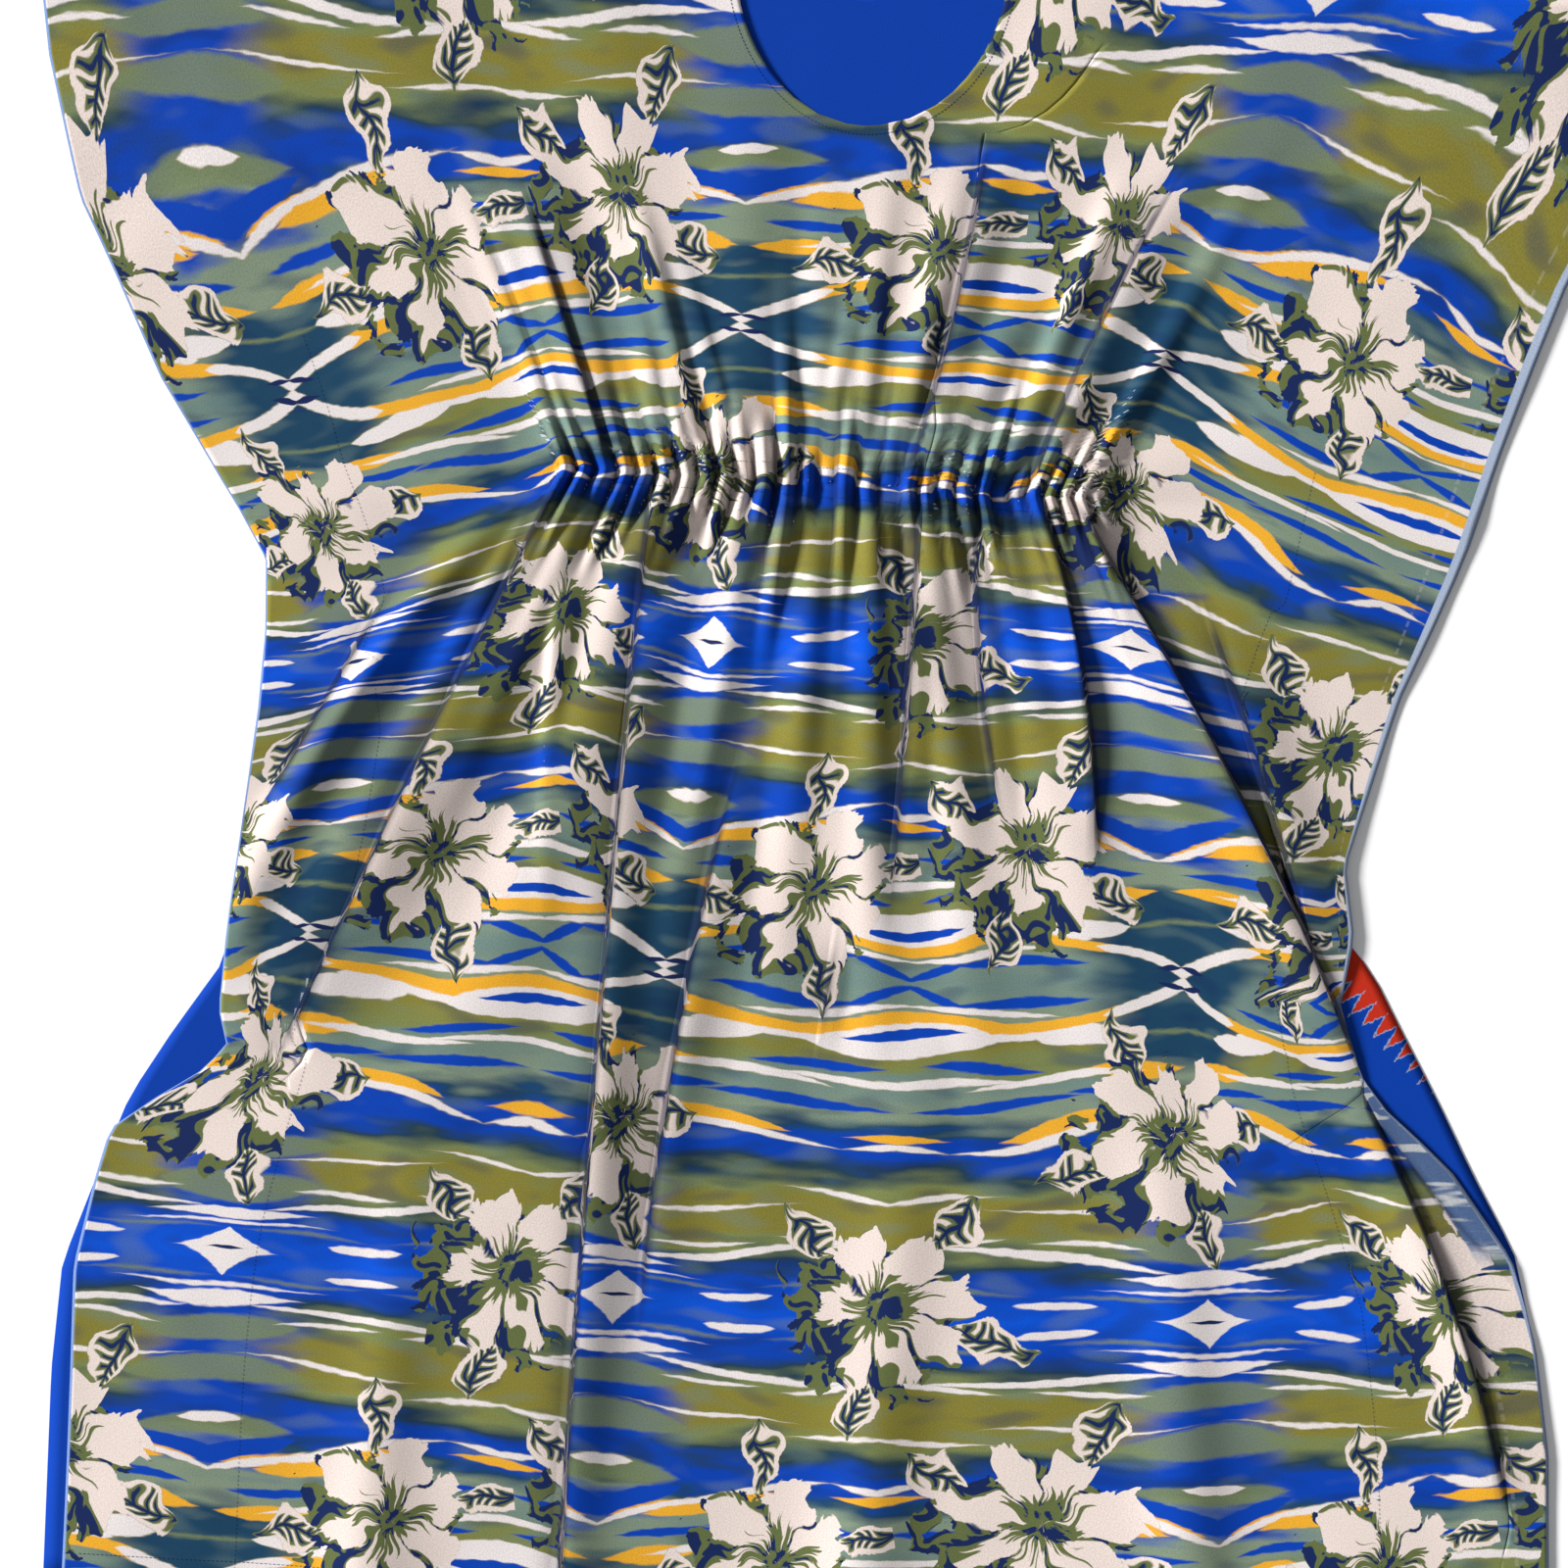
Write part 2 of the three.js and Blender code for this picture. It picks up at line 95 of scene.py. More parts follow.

# %% [markdown]
# ## Folds
# Each fold is a crest line through three places, with its height there, how far the cloth runs out
# to each side, how much cloth it hides and how far the cloth beyond it hangs lower. A run of EDGE
# is a folded-over edge: it drops at once, casts the dark lines of the photograph and gets painted
# shade in its drop. Simulated cloth would fold elsewhere, so the folds are listed. The list is that
# of the solid, and RELIEF lifts each fold a little more, which shades it as the photograph does.

# %% Folds
EDGE = 6.0
FOLD_END = 26.0  # the length in which a fold starts and ends
RELIEF = 1.25
FOLD_COLUMNS = ("y", "x", "high", "left", "right", "hidden", "slip")
FOLD_ROWS = {
    "skirt_left": ((-46, -266, -490), (-252, -347, -437), (5, 11, 3), EDGE, 58, (20, 75, 20), 0),
    "wing_ridge_left": ((-60, -230, -420), (-300, -414, -488), (3, 9, 2), 26, 24, (4, 10, 4), 0),
    "wing_step_left": ((-130, -200, -290), (-380, -415, -462), (1, 5, 1), EDGE, 20, (4, 24, 4), 0),
    "skirt_pleat_1": ((-60, -245, -400), (-238, -242, -240), (3, 5, 1), 9, 24, (5, 10, 4), 0),
    "long_pleat": ((-50, -340, -940), (-168, -180, -190), (6, 10, 7), EDGE, 42, (40, 100, 158), 0),
    "skirt_pleat_2": ((-70, -200, -350), (-93, -107, -130), (3, 5, 1), 12, 16, (6, 10, 3), 0),
    "low_pleat": ((-250, -420, -690), (-86, -114, -137), (1, 6, 2), EDGE, 34, (5, 48, 8), 0),
    "small_tuck": ((-385, -420, -460), (4, 1, -3), (1, 3, 1), EDGE, 16, (1, 8, 1), 0),
    "skirt_pleat_3": ((-40, -190, -350), (52, 51, 47), (5, 7, 1), EDGE, 34, (34, 36, 5), 0),
    "skirt_pleat_4": ((-50, -170, -260), (100, 111, 129), (4, 6, 1), EDGE, 28, (15, 18, 5), 0),
    "skirt_pleat_5": ((-30, -160, -300), (151, 188, 207), (6, 9, 2), 38, EDGE, (36, 42, 5), 0),
    "skirt_right": ((-34, -220, -450), (184, 304, 424), (5, 12, 3), 56, EDGE, (10, 42, 64), 66),
    "wing_fold_right": ((-110, -240, -385), (296, 345, 396), (2, 10, 2), EDGE, 44, (8, 42, 50), 8),
    "side_fold_right": ((-480, -600, -800), (430, 494, 566), (2, 6, 2), 34, EDGE, (28, 20, 6), 0),
    "turned_edge_right": ((-488, -552, -615), (443, 493, 553), (1, 3, 1), EDGE, 30, (1, 2, 1), 0),
    "hem_swell_left": ((-560, -760, -940), (-330, -345, -352), (1, 5, 6), 40, 46, (0, 3, 4), 0),
    "hem_swell_middle": ((-470, -720, -940), (70, 60, 52), (1, 5, 7), 48, 48, (0, 3, 4), 0),
    "hem_swell_right": ((-480, -720, -940), (262, 300, 330), (1, 5, 6), 46, 42, (0, 3, 4), 0),
    "yoke_fold_1": ((12, 90, 200), (-244, -280, -334), (6, 5, 1), 20, 8, (15, 12, 4), 0),
    "yoke_fold_2": ((12, 95, 200), (-214, -245, -286), (7, 7, 1), 34, EDGE, (25, 22, 5), 0),
    "yoke_fold_3": ((14, 70, 150), (-173, -176, -186), (5, 4, 1), 16, 12, (8, 6, 2), 0),
    "yoke_fold_4": ((14, 100, 210), (-135, -160, -196), (6, 7, 2), 22, 12, (14, 14, 4), 0),
    "yoke_fold_5": ((12, 70, 150), (-100, -122, -150), (5, 4, 1), 20, 10, (8, 5, 2), 0),
    "yoke_fold_6": ((12, 60, 130), (-33, -28, -10), (5, 4, 1), 18, 18, (6, 5, 2), 0),
    "yoke_fold_7": ((12, 110, 250), (46, 67, 88), (7, 9, 3), EDGE, 36, (32, 42, 12), 0),
    "yoke_fold_8": ((12, 110, 235), (120, 153, 193), (6, 6, 1), 14, 22, (14, 14, 4), 0),
    "yoke_fold_9": ((12, 120, 240), (146, 186, 240), (7, 8, 2), EDGE, 36, (32, 40, 10), 0),
}
FOLDS = [dict(zip(FOLD_COLUMNS, row)) for row in FOLD_ROWS.values()]


def bend(values, places, y):
    """The parabola through three (place, value) pairs, at y."""
    (p, q, r), (a, b, c) = values, places
    return (p * (y - b) * (y - c) / ((a - b) * (a - c))
            + q * (y - a) * (y - c) / ((b - a) * (b - c))
            + r * (y - a) * (y - b) / ((c - a) * (c - b)))


def smooth(u):
    """0 below 0, 1 above 1, and 3u^2 - 2u^3 between."""
    u = np.clip(u, 0.0, 1.0)
    return u * u * (3.0 - 2.0 * u)


def crest(fold, y):
    """(x of a fold's crest, how much of the fold there is at y, y held inside its ends)."""
    held = np.clip(y, min(fold["y"]), max(fold["y"]))
    part = np.clip(1.0 - np.abs(y - held) / FOLD_END, 0.0, 1.0)
    return bend(fold["x"], fold["y"], np.clip(y, held - FOLD_END, held + FOLD_END)), part, held


print("folds:", len(FOLDS))

# %% [markdown]
# ## Gathers
# Elastic is sewn on stretched, and when it springs back it draws the cloth into small even humps
# that fan out and die away. A valley line between each pair of humps is placed where the photograph
# has it, and the hump between two valleys is a wave. A simulation would give them too, but not the
# same ones.

# %% Gathers
VALLEYS = np.array([
    -246, -231, -216, -197, -182, -166, -148, -132, -117, -102, -86, -68, -50, -35, -20, -4,
    14, 32, 46, 60, 76, 92, 106, 120, 134, 148, 160, 172, 185, 198], float)
GATHER_HEIGHT, GATHER_REACH, GATHER_SPREAD = 11.0, 50.0, 0.0022
# Some gathers are larger than others: sizes at a few places along the elastic.
GATHER_SPOTS = [-246, -200, -182, -166, -100, -60, -35, 20, 50, 90, 110, 130, 150, 190]
GATHER_SIZES = [1.1, 1.2, 0.7, 1.1, 1.2, 1.0, 0.5, 0.5, 1.1, 1.1, 0.6, 0.6, 1.2, 1.2]
SKIRT_RIDGE, YOKE_RIDGE = 8.0, 6.0


def fan_start(x, y):
    """Where the line of the gathers' fan through (x, y) leaves the middle of the elastic."""
    return WAIST_X + (x - WAIST_X) / (1.0 + GATHER_SPREAD * np.abs(y - WAIST_Y))


def gather_place(x, y):
    """(x as the number of the valley before it plus the share of the way to the next, that number
    alone, whether x is beyond the gathers)."""
    back = fan_start(x, y)
    share = np.interp(back, VALLEYS, np.arange(len(VALLEYS)))
    number = np.clip(share.astype(int), 0, len(VALLEYS) - 2)
    return share, number, (back <= VALLEYS[0]) | (back >= VALLEYS[-1])


def gather_fade(y, number):
    """1 at the elastic, falling as a bell away from it, farther for some gathers than for others."""
    away = np.maximum(0.0, np.abs(y - WAIST_Y) - 9.0)
    reach = GATHER_REACH * (0.95 + 0.55 * np.sin(number * 2.4) + 0.3 * np.sin(number * 5.1 + 1.0))
    return np.exp(-(away / np.maximum(reach, 18.0)) ** 2)


def gathers(x, y):
    """|sin|^1.3 humps between the valley lines, higher where wider, each a little its own."""
    share, number, outside = gather_place(x, y)
    own = np.interp(VALLEYS[number], GATHER_SPOTS, GATHER_SIZES)
    own = own + 0.25 * np.sin(number * 1.9 + np.where(y > WAIST_Y, 0.7, 0.0))
    wide = np.sqrt(np.diff(VALLEYS)[number] / 15.0)
    hump = np.abs(np.sin(np.pi * share)) ** 1.3 * wide * own
    return np.where(outside, 0.0, GATHER_HEIGHT * gather_fade(y, number) * hump)


def gather_slips(x, y):
    """(s, t) shift of the print on the gathers. Each crown shows 8 mm less cloth than its share,
    which lies in the valleys, and sits up to 3 mm too high or too low."""
    share, number, outside = gather_place(x, y)
    fade = np.where(outside, 0.0, gather_fade(y, number))
    return -8.0 * fade * (share - number - 0.5), 3.0 * fade * np.sin(number * 2.7 + 1.0)


def broad(x, y):
    """Wide soft ridges that the gathers run out into: sin waves along the fan of the gathers, which
    rise off the elastic and die away down the skirt and up the yoke."""
    off, back = np.abs(y - WAIST_Y), fan_start(x, y)
    inside = smooth((back - ELASTIC["left"] + 16.0) / 30.0)
    inside = inside * smooth((ELASTIC["right"] + 16.0 - back) / 30.0) * smooth(off / 40.0)
    skirt = 0.5 + 0.5 * np.sin(back / 8.3 + 1.4 * np.sin(back / 41.0) + 0.5)
    yoke = 0.5 + 0.5 * np.sin(back / 7.1 + 1.7 * np.sin(back / 33.0) + 2.0)
    down = SKIRT_RIDGE * skirt ** 1.4 * np.exp(-(np.maximum(0.0, off - 60.0) / 330.0) ** 2)
    up = YOKE_RIDGE * yoke ** 1.4 * np.exp(-(np.maximum(0.0, off - 50.0) / 150.0) ** 2)
    return inside * np.where(y < WAIST_Y, down, up)


print("gathers:", len(VALLEYS) - 1)

# %% [markdown]
# ## Height of the front
# The cloth lies as high as its highest fold or gather, with soft joins where two of them meet. The
# sum of cubes gives that: the larger height wins, and equal ones blend. Small drags of the cloth go
# on top, as no laid cloth is quite flat.

# %% Height of the front
def fold_rise(x, y):
    """Heights of all folds and gathers, joined as the cube root of their summed cubes."""
    total = gathers(x, y) ** 3 + broad(x, y) ** 3
    for fold in FOLDS:
        at, part, held = crest(fold, y)
        high = RELIEF * np.maximum(0.0, bend(fold["high"], fold["y"], held)) * part
        run = np.where(x < at, fold["left"], fold["right"])
        u = np.abs(x - at) / run
        soft = np.exp(-1.9 * u * u)
        edge = np.sqrt(np.clip(1.0 - u * u, 0.0, 1.0))
        total = total + (high * np.where(run > EDGE, soft, edge)) ** 3
    return np.cbrt(total)


def rest_level(x, y):
    """Underside of the resting front, raised over the elastic, with a ramp 20 mm wide round it."""
    out_x = np.maximum(np.maximum(ELASTIC["left"] - x, x - ELASTIC["right"]), 0.0)
    out_y = np.maximum(np.maximum(ELASTIC["low"] - y, y - ELASTIC["high"]), 0.0)
    return REST + ELASTIC_LIFT * np.clip((30.0 - np.hypot(out_x, out_y)) / 20.0, 0.0, 1.0)


def slack(x, y):
    """Small drags of the cloth that no fold names: long ripples that run out of the waist."""
    angle = np.arctan2(x - WAIST_X, np.abs(y - WAIST_Y) + 90.0)
    far = np.hypot(x - WAIST_X, y - WAIST_Y)
    long = np.sin(angle * 23.0 + 0.9 * np.sin(far / 90.0)) * np.exp(-far / 420.0)
    cross = np.sin(x / 31.0 + 1.3 * np.sin(y / 57.0)) * np.sin(y / 83.0 + 0.8 * np.sin(x / 71.0))
    fine = np.sin(x / 11.0 + 2.0 * np.sin(y / 43.0)) * np.sin(y / 29.0 + x / 61.0)
    return 2.0 * long + 1.1 * cross + 0.22 * fine


def front_height(x, y):
    """Middle of the front's cloth above the floor, in mm."""
    return rest_level(x, y) + fold_rise(x, y) + np.maximum(0.0, 1.9 + slack(x, y))


print("height at the left pleat:", round(float(front_height(-175.0, -250.0)), 1), "mm")

# %% [markdown]
# ## Where each thread of the cloth lies
# The print follows the cloth, not the plan: gathers squeeze it and a folded-over edge swallows a
# strip of it. A print projected from above would run straight across both. So every point gets two
# cloth coordinates, s from the left selvedge and t down from the waist. Both are pinned on a few
# lines of the cloth that can be followed from the shoulders to the hem, and each fold adds a jump
# of what it hides.

# %% Cloth coordinates
COLUMNS_S = {"left": 0.0, "m0": 115.0, "h0": 351.0, "m1": 587.0, "h1": 823.0, "m2": 1059.0,
             "h2": 1295.0, "right": 1345.0}
COLUMNS = {
    "y": [420, 250, 185, 110, 31, -61, -100, -135, -177, -205, -280, -345, -400, -490, -571, -643,
          -680, -770, -940],
    "m0": [-585, -556, -533, -497, -463, -425, -412, -406, -402, -404, -411, -420, -428, -440,
           -462, -478, -482, -486, -483],
    "h0": [-345, -310, -292, -264, -246, -236, -231, -228, -230, -232, -237, -234, -237, -237,
           -238, -241, -242, -246, -250],
    "m1": [-113, -108, -106, -104, -106, -110, -112, -112, -115, -117, -123, -129, -135, -143,
           -150, -158, -161, -164, -165],
    "h1": [135, 120, 110, 90, 68, 55, 55, 55, 53, 52, 50, 57, 65, 65, 60, 58, 58, 60, 62],
    "m2": [359, 300, 268, 240, 231, 226, 225, 226, 231, 237, 254, 271, 288, 300, 312, 320, 323,
           333, 350],
    "h2": [605, 545, 515, 480, 458, 436, 426, 418, 410, 404, 398, 396, 402, 430, 478, 515, 530,
           548, 562],
}
SINKS = {
    "y": [420, 250, 185, 110, 31, -72, -130, -200, -345, -413, -500, -680, -940],
    "left": [0, 60, 100, 122, 125, 100, 75, 57, 16, -10, -25, -32, -30],
    "m0": [0, 44, 80, 104, 108, 82, 58, 32, -12, -17, -20, -29, -28],
    "h0": [0, 36, 42, 40, 26, 8, -5, -12, -18, -15, -15, -18, -20],
    "m1": [0, 30, 31, 27, 18, 11, 8, 6, -4, -7, -6, -8, -8],
    "h1": [0, 36, 32, 22, 12, 8, 5, 5, 4, 0, -3, -5, -5],
    "m2": [0, 44, 40, 34, 24, 4, -4, -12, -18, -20, -20, -17, -17],
    "h2": [0, 92, 132, 146, 122, 90, 82, 80, 56, 16, -25, -38, -36],
    "right": [0, 110, 154, 168, 142, 108, 92, 80, 50, 10, -30, -42, -40],
}


def eased(table, key, y):
    """A table's column read at nine heights round y and averaged, so that it has no corners."""
    steps = np.linspace(-28.0, 28.0, 9)
    return sum(read(table, key, np.clip(y + step, HEM, SHOULDER)) for step in steps) / len(steps)


def jump(fold, x, y):
    """0 before a fold and 1 after it, all of it inside the drop where the edge is folded over."""
    at, part, held = crest(fold, y)
    left, right = fold["left"], fold["right"]
    if left == EDGE:
        return smooth((x - at + 3.6) / 3.0), part, held
    if right == EDGE:
        return smooth((x - at - 0.6) / 3.0), part, held
    return smooth((x - at + 0.6 * left) / (0.6 * (left + right))), part, held


def broken_line(x, knots, values):
    """Straight lines through (knot, value) pairs, where knots and values change with the row."""
    total = values[0]
    for k in range(1, len(knots)):
        wide = np.maximum(knots[k] - knots[k - 1], 1.0)
        total = total + (values[k] - values[k - 1]) * np.clip((x - knots[k - 1]) / wide, 0.0, 1.0)
    return total


def cloth(x, y):
    """(s, t) in mm of the thread crossing at (x, y)."""
    names = list(COLUMNS_S)
    slipped = names.index("h2")  # the columns from here on lie beyond the folds that slip
    knots = [read(FRONT_EDGE, "left", y)] + [eased(COLUMNS, k, y) for k in names[1:-1]]
    knots.append(read(FRONT_EDGE, "right", y))
    sinks = [eased(SINKS, k, y) for k in names]
    s_pins = [np.full_like(y, COLUMNS_S[k]) for k in names]
    s_extra, t_extra = gather_slips(x, y)
    for fold in FOLDS:
        step, part, held = jump(fold, x, y)
        top, foot = fold["y"][0], fold["y"][-1]
        hidden = np.maximum(0.0, bend(fold["hidden"], fold["y"], held)) * part
        slip = fold["slip"] * part * np.sin(np.pi * (top - held) / (top - foot))
        s_extra = s_extra + hidden * step
        t_extra = t_extra - slip * step
        steps = [jump(fold, knot, y)[0] for knot in knots]
        s_pins = [pin - hidden * share for pin, share in zip(s_pins, steps)]
        sinks[slipped:] = [sink - slip * share
                           for sink, share in zip(sinks[slipped:], steps[slipped:])]
    return (broken_line(x, knots, s_pins) + s_extra,
            t_extra - y - broken_line(x, knots, sinks))


waist_s, _ = cloth(np.array([ELASTIC["left"], ELASTIC["right"]]), np.full(2, WAIST_Y))
print("the elastic draws", round(waist_s[1] - waist_s[0]), "mm of cloth into",
      round(ELASTIC["right"] - ELASTIC["left"]), "mm")

# %% [markdown]
# ## Sheets as grids
# A sheet is a grid of rows, each running across the dress. The columns crowd where the cloth is
# steep, so that folds and gathers come out round with few faces elsewhere. Rows crowd at the waist.
# An even grid would need many times the faces for the same folded-over edges.

# %% Rows and columns
DROP_COLUMNS = 4  # columns between a folded-over edge's crest and its foot


def row_heights(count, crowded):
    """count + 1 heights from hem to shoulder, crowded near the waist by that factor."""
    y = np.linspace(HEM, SHOULDER, 4001)
    weight = 1.0 + crowded * np.exp(-((y + 20.0) / 95.0) ** 2)
    total = np.concatenate([[0.0], np.cumsum(0.5 * (weight[1:] + weight[:-1]))])
    return np.interp(np.linspace(0.0, total[-1], count + 1), total, y)


def crowd(left, right, y, count, height):
    """Per row, count + 1 places from left to right, closer together where height(x, y) is steep."""
    fine = np.linspace(0.0, 1.0, 1201)
    x = left[:, None] + (right - left)[:, None] * fine
    z = height(x, np.repeat(y[:, None], len(fine), 1))
    gap = np.diff(x, axis=1)
    weight = gap * (1.0 + 1.6 * np.minimum(np.abs(np.diff(z, axis=1)) / np.maximum(gap, 1e-6), 3.0))
    total = np.concatenate([np.zeros((len(y), 1)), np.cumsum(weight, axis=1)], axis=1)
    asked = np.linspace(0.0, 1.0, count + 1)
    return np.array([np.interp(asked * row[-1], row, places) for row, places in zip(total, x)])


def follow_folds(x, y, side):
    """Moves columns on to the crest and the foot of every folded-over edge of that side of the
    neck (-1 left, 1 right), so that those edges come out as clean lines. Between them the columns
    share out as before. A column is pulled over slowly beyond a fold's ends."""
    pins = []
    for fold in FOLDS:
        for run, out in ((fold["left"], -1.0), (fold["right"], 1.0)):
            at, part, _ = crest(fold, y)
            active = part > 0.0
            if run != EDGE or (np.mean(fold["x"]) - NECK_X) * side < 0:
                continue
            spot = [np.searchsorted(row, c) for row, c in zip(x[active], at[active])]
            top, low = y[active].max(), y[active].min()
            far = np.maximum(np.maximum(y - top, low - y), 0.0)
            pull = 1.0 - smooth(far / 110.0)
            pins.append((float(np.median(spot)), at, pull, out))
    pins.sort(key=lambda pin: pin[0])
    columns, last = [], 3
    for spot, _, _, out in pins:
        first = max(int(round(spot)) - (DROP_COLUMNS if out < 0 else 0), last + 3)
        last = first + DROP_COLUMNS
        columns.append((first, last))
    result = x.copy()
    for k, row in enumerate(x):
        spots, goals = [0], [row[0]]
        for (first, second), (_, at, pull, out) in zip(columns, pins):
            a, b = (at[k] - EDGE, at[k]) if out < 0 else (at[k], at[k] + EDGE)
            for column, goal in ((first, a), (second, b)):
                spots.append(column)
                goals.append(row[column] + pull[k] * (goal - row[column]))
        spots.append(len(row) - 1)
        goals = np.minimum(np.maximum.accumulate(goals + [row[-1]]), row[-1])
        result[k] = np.interp(row, row[spots], goals)
    return result


rows = row_heights(150, 2.6)
gaps = np.diff(rows)
print("rows are", round(gaps.min(), 1), "to", round(gaps.max(), 1), "mm apart")

# %% [markdown]
# ## Panels with a neck
# A panel's left and right halves meet on the neck's middle line, and above the neck's foot they
# part along a quarter of an ellipse each. So the neck is cut without a boolean, and its edge is a
# clean row of corners.

# %% Panel grid
def neck_half(y, depth):
    """Half width of the scooped neck, a quarter of an ellipse to each side, 0 below its foot."""
    up = np.clip((y - (SHOULDER - depth)) / depth, 0.0, 1.0)
    return NECK_HALF * np.sqrt(1.0 - (1.0 - up) ** 2)


def quads_of(numbers):
    """The corner numbers of the quads between the rows and columns of a grid."""
    corners = [numbers[:-1, :-1], numbers[:-1, 1:], numbers[1:, 1:], numbers[1:, :-1]]
    return np.stack(corners, -1)


def panel_grid(edges, depth, rows, columns, height, folded=False):
    """(points x, y of both halves, quads as corner numbers) of a panel with a scooped neck."""
    foot = SHOULDER - depth
    y = rows[np.abs(rows - foot) > 2.5]
    y = np.sort(np.concatenate([y, [foot, foot + 1.0]]))
    left, right, neck = read(edges, "left", y), read(edges, "right", y), neck_half(y, depth)
    share = int(round(columns * 0.5))
    x_left = crowd(left, NECK_X - neck, y, share, height)
    x_right = crowd(NECK_X + neck, right, y, columns - share, height)
    if folded:
        x_left, x_right = follow_folds(x_left, y, -1), follow_folds(x_right, y, 1)
    x = np.concatenate([x_left, x_right], axis=1)
    numbers = np.arange(x.size).reshape(x.shape)
    joined = numbers.copy()
    joined[y <= foot, share + 1] = numbers[y <= foot, share]
    quads = np.delete(quads_of(joined), share, axis=1).reshape(-1, 4)
    return x.ravel(), np.repeat(y, x.shape[1]), quads


print("half the neck, 50 mm down:", round(float(neck_half(SHOULDER - 50.0, FRONT_NECK))), "mm")

# %% [markdown]
# ## Cloth as a closed shell
# Cloth has a right side, a wrong side and a thin cut edge. The same grid is put down twice, half a
# thickness up and half a thickness down, and joined by a narrow rim. Solidify could do that too,
# but here the two sides get their own materials and the rim is sure to close.

# %% Shell
def add_piece(name, mesh):
    """A mesh as an object in the scene, at the origin."""
    piece = bpy.data.objects.new(name, mesh)
    bpy.context.scene.collection.objects.link(piece)
    return piece


def shell(name, points, quads, uv, wall, fold_shade=None):
    """A closed sheet: the grid moved half a wall up its normals, again half a wall down, and a rim
    along every edge that only one quad has. Upper faces get material 0 and the rest material 1."""
    used, quads = np.unique(quads, return_inverse=True)
    quads = quads.reshape(-1, 4)
    points, uv = points[used], uv[used]
    cross = np.cross(points[quads[:, 2]] - points[quads[:, 0]],
                     points[quads[:, 3]] - points[quads[:, 1]])
    normal = np.zeros_like(points)
    for corner in range(4):
        np.add.at(normal, quads[:, corner], cross)
    normal /= np.linalg.norm(normal, axis=1, keepdims=True) + 1e-12
    count = len(points)
    both = np.concatenate([points + normal * wall / 2, points - normal * wall / 2])
    sides = np.concatenate([quads[:, [i, (i + 1) % 4]] for i in range(4)])
    key = np.sort(sides, axis=1)
    _, first, times = np.unique(key, axis=0, return_index=True, return_counts=True)
    rim = sides[first[times == 1]]
    rims = np.stack([rim[:, 1], rim[:, 0], rim[:, 0] + count, rim[:, 1] + count], -1)
    faces = np.concatenate([quads, quads[:, ::-1] + count, rims])
    mesh = bpy.data.meshes.new(name)
    mesh.from_pydata(both / MM, [], faces.tolist())
    layer = mesh.uv_layers.new(name="cloth")
    layer.data.foreach_set("uv", np.concatenate([uv, uv])[faces.ravel()].astype(np.float32).ravel())
    slots = np.concatenate([np.zeros(len(quads), int), np.ones(len(quads) + len(rims), int)])
    mesh.polygons.foreach_set("material_index", slots.astype(np.int32))
    mesh.polygons.foreach_set("use_smooth", np.ones(len(faces), bool))
    if fold_shade is not None:
        dark = mesh.attributes.new("fold_shade", "FLOAT", "POINT")
        dark.data.foreach_set("value", np.tile(fold_shade[used], 2).astype(np.float32))
    mesh.update()
    return add_piece(name, mesh)


def to_row(x, y, z):
    """Points in the solids' own frame, in mm."""
    return np.stack([x + SHIFT_X, y + SHIFT_Y, z], -1)


print("thickness of the cloth:", CLOTH, "mm")

# %% [markdown]
# ## Front panel
# The front is the printed cloth with every fold and gather. Its wall is 0.6 mm, thinner than the
# solid's 1.2 mm, and soft ripples run between the folds. A fold shade value on each point tells
# the material how much shade to paint into its colour where little light gets in.

# %% Front panel
def painted_fold_shade(x, y):
    """How much painted shade each point gets: full inside a folded-over edge's drop, fading beyond
    its foot, and a little in the valleys of the gathers."""
    share, _, outside = gather_place(x, y)
    fade = gather_fade(y, np.round(share))
    dark = np.where(outside, 0.0, 0.8 * fade * np.abs(np.cos(np.pi * share)) ** 9)
    for fold in FOLDS:
        at, part, held = crest(fold, y)
        high = np.clip(bend(fold["high"], fold["y"], held) / 3.5, 0.0, 1.0) * part
        for run, out in ((fold["left"], at - x), (fold["right"], x - at)):
            if run == EDGE:
                near = np.exp(-(np.maximum(0.0, out - 4.6) / 2.6) ** 2)
                wide = 0.58 * np.exp(-(np.maximum(0.0, out - 3.0) / 17.0) ** 2)
                drop = smooth((out + 1.2) / 2.2) * np.maximum(near, wide)
                dark = np.maximum(dark, 0.85 * high * drop)
    return dark


front_x, front_y, front_quads = panel_grid(FRONT_EDGE, FRONT_NECK, rows, 320, front_height, True)
front_s, front_t = cloth(front_x, front_y)
front_points = to_row(front_x, front_y, front_height(front_x, front_y))
front = shell("front_cloth", front_points, front_quads, np.stack([front_s, front_t], -1) / MM,
              CLOTH, painted_fold_shade(front_x, front_y))
print("front:", len(front.data.polygons), "faces, height",
      round(float(front_points[:, 2].max()), 1), "mm")

# %% [markdown]
# ## Back panel
# The back lies flat under the front, and only its sides show. It could be a plain flat sheet, but
# soft ripples keep its edge from looking stamped out. Its lower face lies just above the floor.

# %% Back panel
def back_height(x, y):
    """Middle of the back's cloth: flat, with up to 0.5 mm of waviness, never below the floor."""
    return 0.62 + 0.22 * np.maximum(0.0, slack(x * 1.1 + 60.0, y * 0.9) / 1.4)


BACK_ZERO = 700.0  # the back's s at x = 0
back_rows = row_heights(70, 0.0)
back_x, back_y, back_quads = panel_grid(BACK_EDGE, BACK_NECK, back_rows, 110, back_height)
back_points = to_row(back_x, back_y, back_height(back_x, back_y))
back_uv = np.stack([back_x + BACK_ZERO, -back_y], -1) / MM
back = shell("back_cloth", back_points, back_quads, back_uv, CLOTH)
print("back:", len(back.data.polygons), "faces")

# %% [markdown]
# ## Elastic
# The strip lies between the two panels, 26 mm wide, and shows only from the side. It is a row of
# small ribs across its length, as woven elastic has. A bump would do, but ribs this size are cheap.

